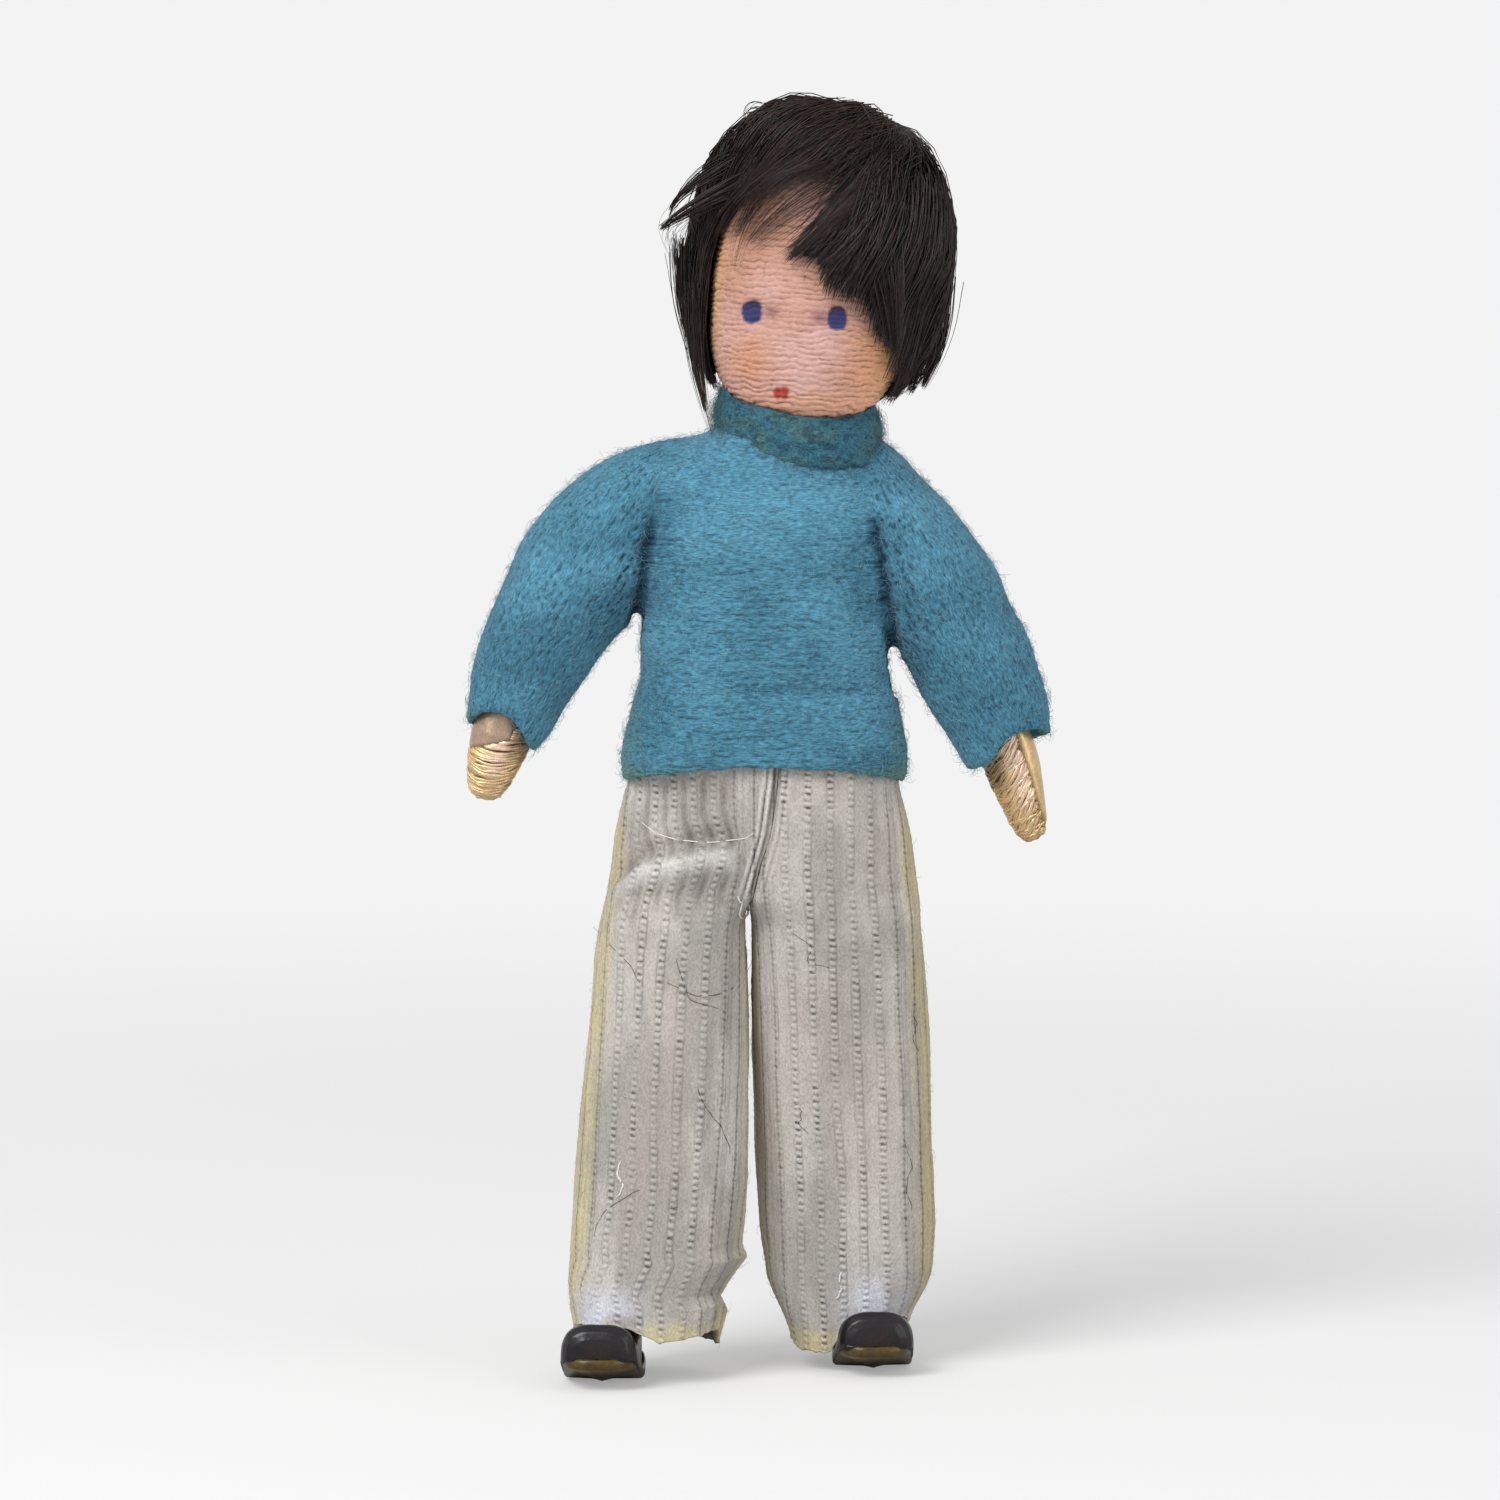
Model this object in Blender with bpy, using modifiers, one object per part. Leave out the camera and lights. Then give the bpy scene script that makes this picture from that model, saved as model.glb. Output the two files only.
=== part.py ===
"""A bendy doll about 120 mm tall, standing on Z = 0 and facing -Y. Lengths are in metres.

A steel armature wire runs through the body, the limbs and the neck. Wadding is wrapped round the wire
and knitted clothes cover the wadding. The doll bends where the wire is left bare of wadding, and there
the cloth is a loose fold. Right and left are the doll's own, so its right side is at -X.
"""

import math

import bmesh
import bpy
from mathutils import Matrix, Vector

X, Y, Z = Vector((1, 0, 0)), Vector((0, 1, 0)), Vector((0, 0, 1))
FRONT = -Y
SIDES = {"right": -1, "left": 1}

# Clearances and mesh fineness
CLEARANCE = 0.0003
WELD = 0.000002
OVERRUN = 0.002
BODY_SIDES = 24
LIMB_SIDES = 16
HEAD_RINGS = 14
WIRE_BEVEL_RESOLUTION = 2
THREAD_BEVEL_RESOLUTION = 1
SHARP_ANGLE = math.radians(40)

# Walls of cloth and skin
SWEATER_WALL = 0.0007
TROUSER_WALL = 0.0006
SKIN_WALL = 0.0006

# Armature wire
WIRE_RADIUS = 0.0005
WIRE_BREAK = 0.0009
HAIRPIN_RADIUS = 0.0009
HAIRPIN_STEPS = 8
WIRE_CROSSING = 2 * WIRE_RADIUS + CLEARANCE

# Ranges of the joints in degrees: toward the side that the joint mostly bends to, then away from it
WAIST_RANGE = (40, 15)
ELBOW_RANGE = (80, 0)
WRIST_RANGE = (20, 20)
SWING_RANGE = (90, 20)
SPREAD_RANGE = (25, 0)
KNEE_RANGE = (90, 0)

# Heights, from the floor up
ANKLE_HEIGHT = 0.0063
SHIN_LENGTH = 0.0202
THIGH_LENGTH = 0.0205
HIP_TO_WAIST = 0.013
WAIST_TO_NECK = 0.0255
KNEE_Z = ANKLE_HEIGHT + SHIN_LENGTH
HIP_Z = KNEE_Z + THIGH_LENGTH
WAIST_Z = HIP_Z + HIP_TO_WAIST
NECK_Z = WAIST_Z + WAIST_TO_NECK

# Places across the doll
BODY_X = 0.0002
CHEST_X = 0.0006
NECK_X = 0.0032
HIP_OUT = 0.0068
KNEE_X = {"right": -0.0089, "left": 0.0077}
ANKLE_X = {"right": -0.0124, "left": 0.0095}
HEM_X = {"right": -0.0107, "left": 0.0089}
ANKLE_Y = {"right": -0.0035, "left": 0.0035}

# Body cloth: share of the way from hem to neck seam, share of the half width, share of the half depth
CHEST_HALF_WIDTH = 0.0117
CHEST_HALF_DEPTH = 0.0074
SWEATER_HEM_DROP = 0.0049
COLLAR_HALF_WIDTH = 0.0077
COLLAR_HALF_DEPTH = 0.0064
COLLAR_HEIGHT = 0.0037
COLLAR_TAPER_SHARE = 0.90
SEAM_TILT_DEGREES = 14
COLLAR_RIM_TILT_DEGREES = 11
BODY_EASE = 0.0006
ARMHOLE_INSET = {"right": 0.0024, "left": 0.0032}
ARMPIT_DROP = {"right": 0.0108, "left": 0.0125}
BODY_SQUARENESS = 2.5
SWEATER_SHARES = (
    (0.00, 1.13, 1.07),
    (0.10, 1.14, 1.09),
    (0.22, 1.07, 1.06),
    (0.285, 1.035, 1.02),
    (0.32, 0.99, 0.97),
    (0.355, 1.00, 1.00),
    (0.50, 0.99, 1.00),
    (0.76, 1.01, 1.00),
    (0.92, 0.99, 0.95),
)
SHOULDER_TOP_SHARES = ((1.00, 0.86, 0.90), (1.05, 0.70, 0.875))

# Seat of the trousers: share of the way from hip to waist, half width, half depth
SEAT_HALF_WIDTH = 0.0139
SEAT_HALF_DEPTH = 0.0067
SEAT_SHARES = (
    (-0.10, 1.00, 0.95),
    (0.25, 0.97, 1.00),
    (0.60, 0.90, 1.00),
    (0.97, 0.835, 0.94),
)

# Trouser legs: share of the way from hip to ankle, half width, half depth, squareness
LEG_HALF_WIDTH = {"right": 0.0074, "left": 0.0079}
LEG_HALF_DEPTH = 0.0062
HEM_BACK_HEIGHT = 0.0032
HEM_FRONT_HEIGHT = 0.0062
LEG_SHARES = (
    (-0.20, 0.90, 1.04, 3.4),
    (0.07, 0.93, 1.02, 3.2),
    (0.20, 0.96, 0.98, 2.5),
    (0.34, 0.985, 0.95, 2.3),
    (0.50, 1.00, 0.93, 2.3),
    (0.75, 1.03, 0.93, 2.3),
    (0.92, 1.02, 1.00, 2.3),
    (1.10, 0.91, 1.02, 2.3),
)

# Arms
SHOULDER_OUT = 0.0116
SHOULDER_BELOW_NECK = {"right": 0.0059, "left": 0.0068}
UPPER_ARM = 0.0120
FOREARM = 0.0120
UPPER_ARM_DEGREES = {"right": 38, "left": 31}
FOREARM_DEGREES = {"right": 28, "left": 26}
SLEEVE_START = 0.0055
SLEEVE_RADIUS = {"right": 0.0059, "left": 0.0062}
SLEEVE_DEPTH_SHARE = 0.93
SLEEVE_SHARES = (
    (0.00, 1.00),
    (0.25, 0.96),
    (0.45, 0.89),
    (0.65, 0.80),
    (0.85, 0.70),
    (1.00, 0.64),
)
SHOULDER_RISE = 0.0060
SHOULDER_FOLD_HALF_DEPTH = 0.0055
SHOULDER_FOLD_BULGE_SHARE = 1.12

# Hands: share of the way to the fingertips, share of the radius
HAND_LENGTH = {"right": 0.0062, "left": 0.0080}
HAND_CORE_RADIUS = 0.0018
HAND_DEPTH_SHARE = 0.82
HAND_DEGREES = {"right": 16, "left": 17}
HAND_SHARES = (
    (0.00, 0.90),
    (0.25, 1.00),
    (0.55, 0.92),
    (0.80, 0.66),
    (1.00, 0.28),
)
THREAD_RADIUS = 0.0002
THREAD_PITCH = 0.00092
POINTS_PER_TURN = 12
LEAST_THREAD_GAP = 0.0004

# Head and neck
HEAD_LEAN_DEGREES = 6
HEAD_TURN_DEGREES = -10
HEAD_HALF_WIDTH = 0.0095
HEAD_HALF_DEPTH = 0.0095
HEAD_HALF_HEIGHT = 0.0124
HEAD_SQUARENESS = 2.35
NECK_RADIUS = 0.0030
NECK_LENGTH = 0.0034
NECK_TO_HEAD = HEAD_HALF_HEIGHT + NECK_LENGTH
NECK_OPENING_SHARE = 0.97
NECK_WIRE_SHARE = 0.95
NECK_BORE_SPARE = 0.0010

# Hair
HAIR_HALF_WIDTH = 0.0127
HAIR_HALF_DEPTH = 0.0122
HAIR_ABOVE_HEAD = 0.0026
HAIR_HALF_HEIGHT = HEAD_HALF_HEIGHT + HAIR_ABOVE_HEAD
HAIR_RISE = 0.0031
HAIR_BACK = 0.0005
HAIR_ABOVE_CHIN = 0.0024
HAIR_DROP = HEAD_HALF_HEIGHT - HAIR_ABOVE_CHIN
HAIR_SQUARENESS = 2.25
FACE_OPENING = (0.0108, 0.0120, 0.0165)
FACE_OPENING_PLACE = (-0.0012, -0.0150, -0.0050)
FACE_OPENING_TILT_DEGREES = -16

# Shoes: share of the length from toe to heel, share of the half width, share of the height
SHOE_LENGTH = 0.0134
SHOE_HALF_WIDTH = 0.0037
SHOE_HEIGHT = 0.0036
SHOE_BEHIND_ANKLE = 0.0042
TOE_OUT_DEGREES = {"right": 17, "left": 8}
SOLE_THICKNESS = 0.0010
SOLE_EDGE = 0.0003
HEEL_HEIGHT = 0.0013
HEEL_LENGTH = 0.0040
TOE_SPRING = 0.0009
FOOT_WIRE_SHARE = 0.50
FOOT_WIRE_RISE = 0.0012
SHOE_SHARES = (
    (0.000, 0.30, 0.36),
    (0.030, 0.60, 0.60),
    (0.100, 0.86, 0.80),
    (0.220, 0.99, 0.93),
    (0.360, 1.00, 0.97),
    (0.480, 0.97, 0.99),
    (0.600, 0.94, 1.00),
    (0.700, 0.92, 1.00),
    (0.850, 0.88, 0.98),
    (0.950, 0.72, 0.92),
    (1.000, 0.45, 0.82),
)
BALL_START_SHARE = 0.20
BALL_END_SHARE = 0.50
SHANK_END_SHARE = 0.70
UPPER_ARC_STEPS = 8
UPPER_SQUARENESS = 2.35

MATERIALS = {
    "steel_wire": ((0.42, 0.40, 0.37, 1), 0.35, 1.0),
    "wadding": ((0.85, 0.82, 0.76, 1), 0.95, 0.0),
    "sweater_knit": ((0.075, 0.26, 0.37, 1), 0.90, 0.0),
    "trouser_knit": ((0.60, 0.57, 0.50, 1), 0.90, 0.0),
    "crepe_skin": ((0.78, 0.45, 0.31, 1), 0.80, 0.0),
    "hair": ((0.016, 0.011, 0.009, 1), 0.55, 0.0),
    "hand_thread": ((0.55, 0.38, 0.18, 1), 0.50, 0.0),
    "shoe_leather": ((0.022, 0.017, 0.016, 1), 0.22, 0.0),
    "sole_leather": ((0.075, 0.048, 0.014, 1), 0.55, 0.0),
}


# Scene and objects


def clear_scene():
    for thing in list(bpy.data.objects):
        bpy.data.objects.remove(thing)


def new_collection(name):
    collection = bpy.data.collections.new(name)
    bpy.context.scene.collection.children.link(collection)
    return collection


def material(name):
    found = bpy.data.materials.get(name)
    if found:
        return found
    colour, roughness, metallic = MATERIALS[name]
    made = bpy.data.materials.new(name)
    made.use_nodes = True
    shader = made.node_tree.nodes["Principled BSDF"]
    shader.inputs["Base Color"].default_value = colour
    shader.inputs["Roughness"].default_value = roughness
    shader.inputs["Metallic"].default_value = metallic
    made.diffuse_color = colour
    return made


def pivot(name, place, parent=None):
    """An empty on a joint, which carries the pieces of the body that the joint moves."""
    empty = bpy.data.objects.new(name, None)
    parts.objects.link(empty)
    empty.empty_display_size = WIRE_BREAK
    empty["place"] = tuple(place)
    empty.parent = parent
    empty.location = place - Vector(parent["place"]) if parent else place
    return empty


def carry(piece, body, stuff):
    """Gives a piece its material and its parent, keeping it where its mesh puts it."""
    piece.data.materials.append(material(stuff))
    piece.parent = body
    piece.matrix_parent_inverse = Matrix.Translation(-Vector(body["place"]))
    return piece


def object_of(name, mesh, collection):
    data = bpy.data.meshes.new(name)
    bmesh.ops.recalc_face_normals(mesh, faces=mesh.faces)
    mesh.to_mesh(data)
    mesh.free()
    data.shade_smooth()
    data.set_sharp_from_angle(angle=SHARP_ANGLE)
    made = bpy.data.objects.new(name, data)
    collection.objects.link(made)
    return made


def as_cutter(thing):
    thing.hide_render = True
    thing.display_type = "WIRE"
    return thing


def subtract(thing, *others):
    for other in others:
        modifier = thing.modifiers.new("cut", "BOOLEAN")
        modifier.operation = "DIFFERENCE"
        modifier.solver = "EXACT"
        modifier.object = other


# Wires and channels


def curve_of(name, points, radius, bevel, collection):
    data = bpy.data.curves.new(name, "CURVE")
    data.dimensions = "3D"
    data.bevel_depth = radius
    data.bevel_resolution = bevel
    data.use_fill_caps = True
    spline = data.splines.new("POLY")
    spline.points.add(len(points) - 1)
    for target, point in zip(spline.points, points):
        target.co = (*point, 1)
    made = bpy.data.objects.new(name, data)
    collection.objects.link(made)
    return made


def wire(name, points, body):
    return carry(curve_of(name, points, WIRE_RADIUS, WIRE_BEVEL_RESOLUTION, parts), body, "steel_wire")


def channel(name, points):
    """A cutter that clears the wire which runs along the same points."""
    curve = curve_of(name, points, WIRE_RADIUS + CLEARANCE, WIRE_BEVEL_RESOLUTION, cutters)
    graph = bpy.context.evaluated_depsgraph_get()
    data = bpy.data.meshes.new_from_object(curve.evaluated_get(graph))
    mesh = bmesh.new()
    mesh.from_mesh(data)
    bmesh.ops.remove_doubles(mesh, verts=mesh.verts, dist=WELD)
    place = curve.matrix_world.copy()
    bpy.data.objects.remove(curve)
    made = as_cutter(object_of(name, mesh, cutters))
    made.matrix_world = place
    return made


def stretch(start, end, before=0.0, after=0.0):
    """Two points of a straight run, moved in from the first end or out past the second."""
    along = (end - start).normalized()
    return [start + along * before, end + along * after]


# Sections and lofts


def superellipse(angle, squareness):
    power = 2 / squareness
    return [math.copysign(abs(value) ** power, value) for value in (math.cos(angle), math.sin(angle))]


def section(centre, half_width, half_depth, across=X, deep=Y, squareness=2.0):
    """A rounded outline: its centre, its two half axes as vectors, and how square it is."""
    return centre, across * half_width, deep * half_depth, squareness


def inset(outline, depth):
    centre, across, deep, squareness = outline
    across = across - across.normalized() * depth
    deep = deep - deep.normalized() * depth
    return centre, across, deep, squareness


def inset_all(outlines, depth):
    return [inset(outline, depth) for outline in outlines]


def loft(outlines, sides, solid):
    """The surface through the outlines, with both ends closed if it is solid."""
    mesh = bmesh.new()
    rings = []
    for centre, across, deep, squareness in outlines:
        shares = [superellipse(2 * math.pi * step / sides, squareness) for step in range(sides)]
        rings.append([mesh.verts.new(centre + across * cos + deep * sin) for cos, sin in shares])
    for lower, upper in zip(rings, rings[1:]):
        for step in range(sides):
            after = (step + 1) % sides
            mesh.faces.new((lower[step], lower[after], upper[after], upper[step]))
    if solid:
        mesh.faces.new(rings[0][::-1])
        mesh.faces.new(rings[-1])
    return mesh


def keep_beyond(mesh, plane, solid):
    """Cuts off what lies behind a plane, given as a point and the normal of the side that stays."""
    point, normal = plane
    everything = mesh.verts[:] + mesh.edges[:] + mesh.faces[:]
    found = bmesh.ops.bisect_plane(
        mesh, geom=everything, dist=WELD, plane_co=point, plane_no=normal, clear_inner=True
    )
    if solid:
        rim = [item for item in found["geom_cut"] if isinstance(item, bmesh.types.BMEdge)]
        bmesh.ops.edgenet_fill(mesh, edges=rim)


def behind(plane):
    """The other side of a plane, clear of it."""
    point, normal = plane
    return point - normal * CLEARANCE, -normal


def beyond(plane, distance):
    point, normal = plane
    return point + normal * distance, normal


def cloth(name, outlines, planes, wall, stuff, body, sides=LIMB_SIDES):
    """A tube of cloth through the outlines, cut off at the planes."""
    mesh = loft(outlines, sides, solid=False)
    for plane in planes:
        keep_beyond(mesh, plane, solid=False)
    piece = carry(object_of(name, mesh, parts), body, stuff)
    thickness = piece.modifiers.new("wall", "SOLIDIFY")
    thickness.thickness = wall
    thickness.offset = -1
    return piece


def wadding(name, outlines, planes, wall, channels, body, sides=LIMB_SIDES):
    """The filling of a tube of cloth, with a channel for each wire that runs through it."""
    mesh = loft(inset_all(outlines, wall + CLEARANCE), sides, solid=True)
    for plane in planes:
        keep_beyond(mesh, plane, solid=True)
    piece = carry(object_of(name, mesh, parts), body, "wadding")
    subtract(piece, *channels)
    return piece


def bend_planes(place, along, ways):
    """The planes where the cloth stops on each side of a joint, so that it bends as far as its range.

    The first plane bounds the side that along points to and the second the other side. Each way is a
    direction, the reach of the cloth in it, and how far the joint bends toward and away from it.
    """
    rise = CLEARANCE
    lean = Vector()
    for toward, reach, (most, least) in ways:
        inner = reach * math.tan(math.radians(most / 2))
        outer = reach * math.tan(math.radians(least / 2))
        rise += (inner + outer) / 2
        lean += toward * (inner - outer) / (2 * reach)
    return (
        (place + along * rise, (along - lean).normalized()),
        (place - along * rise, (-along - lean).normalized()),
    )


def row_at(table, share):
    """The other columns of a table of shares, at a share between its rows."""
    for lower, upper in zip(table, table[1:]):
        if share <= upper[0]:
            mix = (share - lower[0]) / (upper[0] - lower[0])
            return [a + (b - a) * mix for a, b in zip(lower[1:], upper[1:])]
    return list(table[-1][1:])


def mixed(start, end, share):
    return start + (end - start) * share


# Body


def sweater_outlines():
    """Outlines of the sweater from its hem to the neck seam, with the crease across the belly."""
    hem_z = WAIST_Z - SWEATER_HEM_DROP
    length = NECK_Z - hem_z
    outlines = []
    for share, width, depth in SWEATER_SHARES:
        centre = Vector((mixed(BODY_X, CHEST_X, min(share, 1)), 0, hem_z + share * length))
        outlines.append((centre, width * CHEST_HALF_WIDTH, depth * CHEST_HALF_DEPTH))
    for share, width, depth in SHOULDER_TOP_SHARES:
        centre = Vector((mixed(CHEST_X, NECK_X, share / 2), 0, hem_z + share * length))
        outlines.append((centre, width * CHEST_HALF_WIDTH, depth * CHEST_HALF_DEPTH))
    top = Vector((NECK_X, 0, NECK_Z + COLLAR_HEIGHT))
    outlines.append((top, COLLAR_HALF_WIDTH, COLLAR_HALF_DEPTH))
    return [section(*outline, squareness=BODY_SQUARENESS) for outline in outlines]


def seat_outlines():
    outlines = []
    for share, width, depth in SEAT_SHARES:
        centre = Vector((BODY_X, 0, HIP_Z + share * HIP_TO_WAIST))
        size = (width * SEAT_HALF_WIDTH, depth * SEAT_HALF_DEPTH)
        outlines.append(section(centre, *size, squareness=BODY_SQUARENESS))
    return outlines


def armhole(side):
    """A round cutter about the shoulder's swing axis, which opens the body down to the armpit."""
    inner = CHEST_X + SIDES[side] * (CHEST_HALF_WIDTH - ARMHOLE_INSET[side])
    wide = ARMHOLE_INSET[side] + OVERRUN
    radius = ARMPIT_DROP[side]
    mesh = bmesh.new()
    size = {"radius1": radius, "radius2": radius, "depth": wide}
    bmesh.ops.create_cone(mesh, cap_ends=True, segments=BODY_SIDES, **size)
    place = Matrix.Translation((inner + SIDES[side] * wide / 2, 0, shoulders[side].z))
    bmesh.ops.transform(mesh, matrix=place @ Matrix.Rotation(math.pi / 2, 4, "Y"), verts=mesh.verts)
    return as_cutter(object_of(f"armhole_{side}", mesh, cutters))


def neck_plane(rise, tilt_degrees):
    """A plane across the neck, lower at the front."""
    tilt = math.radians(tilt_degrees)
    return Vector((NECK_X, 0, NECK_Z + rise)), Vector((0, -math.sin(tilt), math.cos(tilt)))


def build_body():
    """Pelvis, torso and neck."""
    pelvis_in = leg_wire_points()
    wire("pelvis_wire", pelvis_in, pelvis)
    planes = [*[hip_planes(side)[0] for side in SIDES], waist_planes[1]]
    outlines = seat_outlines()
    cloth("trouser_seat", outlines, planes, TROUSER_WALL, "trouser_knit", pelvis, BODY_SIDES)
    hollow = [channel("pelvis_channel", pelvis_in)]
    wadding("pelvis_wadding", outlines, planes, TROUSER_WALL, hollow, pelvis, BODY_SIDES)

    spine_in = stretch(waist, neck, before=WIRE_BREAK)
    wire("spine_wire", spine_in, torso)
    shoulder_in = shoulder_wire_points()
    wire("shoulder_wire", shoulder_in, torso)
    outlines = sweater_outlines()
    knit = (SWEATER_WALL, "sweater_knit", torso, BODY_SIDES)
    planes = [waist_planes[0], behind(neck_plane(0, SEAM_TILT_DEGREES))]
    armholes = [armhole(side) for side in SIDES]
    subtract(cloth("sweater_body", outlines, planes, *knit), *armholes)
    cloth("sweater_waist", outlines, [behind(waist_planes[0])], *knit)
    build_collar(knit)
    hollow = [channel("spine_channel", spine_in), channel("shoulder_channel", shoulder_in), *armholes]
    below_neck = (neck - Z * WIRE_RADIUS, -Z)
    wadding(
        "torso_wadding", outlines, [*planes, below_neck], SWEATER_WALL + BODY_EASE, hollow, torso, BODY_SIDES
    )


def build_collar(knit):
    """The rolled collar, which stands on the neck seam and closes round the neck."""
    low = neck_plane(0, SEAM_TILT_DEGREES)
    high = neck_plane(COLLAR_HEIGHT, COLLAR_RIM_TILT_DEGREES)
    reach = COLLAR_HEIGHT + OVERRUN
    outlines = []
    for rise, taper in ((-reach, 1), (0, 1), (2 * reach, COLLAR_TAPER_SHARE)):
        size = (taper * COLLAR_HALF_WIDTH, taper * COLLAR_HALF_DEPTH)
        outlines.append(section(neck + Z * rise, *size, squareness=BODY_SQUARENESS))
    cloth("sweater_collar", outlines, [low, behind(high)], *knit)


def leg_wire_points():
    """The leg wire, bent double in the pelvis: up from one hip, over, and down to the other."""
    turn_z = waist.z - HAIRPIN_RADIUS - WIRE_RADIUS
    points = [hips["right"]]
    for step in range(HAIRPIN_STEPS + 1):
        angle = math.pi * (1 - step / HAIRPIN_STEPS)
        around = Vector((math.cos(angle), 0, math.sin(angle))) * HAIRPIN_RADIUS
        points.append(Vector((waist.x, 0, turn_z)) + around)
    points.append(hips["left"])
    return points


def shoulder_wire_points():
    """The arm wire, which crosses behind the spine wire."""
    right, left = shoulders["right"], shoulders["left"]
    share = (spine_x_at(right.z) - right.x) / (left.x - right.x)
    crossing = mixed(right, left, share) + Y * WIRE_CROSSING
    straight = Vector((WIRE_CROSSING, 0, 0))
    return [right, crossing - straight, crossing + straight, left]


def spine_x_at(height):
    return mixed(waist.x, neck.x, (height - waist.z) / (neck.z - waist.z))


# Legs


def leg_outlines(side):
    """Outlines of a trouser leg from above the hip to the hem."""
    outlines = []
    inner_limit = CLEARANCE / 2
    for share, width, depth, squareness in LEG_SHARES[::-1]:
        z = mixed(HIP_Z, ANKLE_HEIGHT, share)
        half = width * LEG_HALF_WIDTH[side]
        x = mixed(BODY_X + SIDES[side] * (half + inner_limit), HEM_X[side], max(share, 0))
        y = mixed(0, ANKLE_Y[side], max(share, 0))
        outlines.append(section(Vector((x, y, z)), half, depth * LEG_HALF_DEPTH, squareness=squareness))
    return outlines


def hip_planes(side):
    """Where the seat stops and where the thigh begins."""
    ways = (
        (FRONT, LEG_HALF_DEPTH, SWING_RANGE),
        (X * SIDES[side], LEG_HALF_WIDTH[side], SPREAD_RANGE),
    )
    return bend_planes(hips[side], Z, ways)


def hem_plane(side):
    """The slanted hem, which covers the back of the shoe and leaves the toe cap bare."""
    rise = HEM_FRONT_HEIGHT - HEM_BACK_HEIGHT
    slope = rise / (2 * LEG_HALF_DEPTH)
    centre = Vector((HEM_X[side], ANKLE_Y[side], (HEM_FRONT_HEIGHT + HEM_BACK_HEIGHT) / 2))
    return centre, Vector((0, slope, 1)).normalized()


def build_leg(side):
    hip, knee, ankle = hips[side], knees[side], ankles[side]
    swing = pivot(f"hip_{side}_joint", hip, pelvis)
    thigh = pivot(f"thigh_{side}_joint", hip, swing)
    shin = pivot(f"shin_{side}_joint", knee, thigh)
    foot = pivot(f"foot_{side}_joint", ankle, shin)
    outlines = leg_outlines(side)
    above, below = hip_planes(side)
    knee_above, knee_below = bend_planes(knee, Z, ((Y, LEG_HALF_DEPTH, KNEE_RANGE),))
    cloth_of_leg = (TROUSER_WALL, "trouser_knit")

    cloth(f"hip_fold_{side}", outlines, [behind(above), behind(below)], *cloth_of_leg, swing)
    thigh_in = stretch(hip, knee, before=WIRE_BREAK)
    wire(f"thigh_wire_{side}", thigh_in, thigh)
    cloth(f"trouser_thigh_{side}", outlines, [below, knee_above], *cloth_of_leg, thigh)
    hollow = [channel(f"thigh_channel_{side}", thigh_in)]
    wadding(f"thigh_wadding_{side}", outlines, [below, knee_above], TROUSER_WALL, hollow, thigh)

    cloth(f"knee_fold_{side}", outlines, [behind(knee_above), behind(knee_below)], *cloth_of_leg, shin)
    shin_in = stretch(knee, ankle, before=WIRE_BREAK)
    wire(f"shin_wire_{side}", shin_in, shin)
    cloth(f"trouser_shin_{side}", outlines, [knee_below, hem_plane(side)], *cloth_of_leg, shin)
    hollow = [channel(f"shin_channel_{side}", shin_in)]
    above_shoe = (ankle + Z * OVERRUN, Z)
    wadding(f"shin_wadding_{side}", outlines, [knee_below, above_shoe], TROUSER_WALL, hollow, shin)
    build_shoe(side, ankle, foot)


# Shoes


def smooth(share):
    share = min(max(share, 0), 1)
    return share * share * (3 - 2 * share)


def sole_lift(share):
    """Height of the underside of the sole: sprung at the toe, flat at the ball, raised over the heel."""
    if share < BALL_START_SHARE:
        return TOE_SPRING * (1 - share / BALL_START_SHARE) ** 2
    return HEEL_HEIGHT * smooth((share - BALL_END_SHARE) / (SHANK_END_SHARE - BALL_END_SHARE))


def shoe_y(share):
    return SHOE_BEHIND_ANKLE - SHOE_LENGTH * (1 - share)


def bar_loft(rings):
    """A solid through rings of the same number of points, run from heel to toe."""
    mesh = bmesh.new()
    made = [[mesh.verts.new(point) for point in ring] for ring in rings]
    for one, other in zip(made, made[1:]):
        for step in range(len(one)):
            after = (step + 1) % len(one)
            mesh.faces.new((one[step], one[after], other[after], other[step]))
    mesh.faces.new(made[0][::-1])
    mesh.faces.new(made[-1])
    return mesh


def sole_rings():
    rings = []
    for share, width, _ in SHOE_SHARES:
        half = width * SHOE_HALF_WIDTH + SOLE_EDGE
        y, low = shoe_y(share), sole_lift(share)
        high = low + SOLE_THICKNESS
        rings.append([Vector((x, y, z)) for x, z in ((-half, low), (half, low), (half, high), (-half, high))])
    return rings


def upper_rings():
    """The upper, flat below where it sits on the sole and rounded above."""
    rings = []
    for share, width, height in SHOE_SHARES:
        half = width * SHOE_HALF_WIDTH
        low = sole_lift(share) + SOLE_THICKNESS + CLEARANCE
        ring = []
        for step in range(UPPER_ARC_STEPS + 1):
            across, up = superellipse(math.pi * step / UPPER_ARC_STEPS, UPPER_SQUARENESS)
            ring.append(Vector((half * across, shoe_y(share), low + height * SHOE_HEIGHT * abs(up))))
        rings.append(ring)
    return rings


def heel_rings():
    """The heel block, as wide as the sole above it."""
    top = HEEL_HEIGHT - CLEARANCE
    start = 1 - HEEL_LENGTH / SHOE_LENGTH
    shares = [start] + [row[0] for row in SHOE_SHARES if row[0] > start]
    rings = []
    for share in shares:
        half = row_at(SHOE_SHARES, share)[0] * SHOE_HALF_WIDTH + SOLE_EDGE
        y = shoe_y(share)
        rings.append([Vector((x, y, z)) for x, z in ((-half, 0), (half, 0), (half, top), (-half, top))])
    return rings


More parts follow.
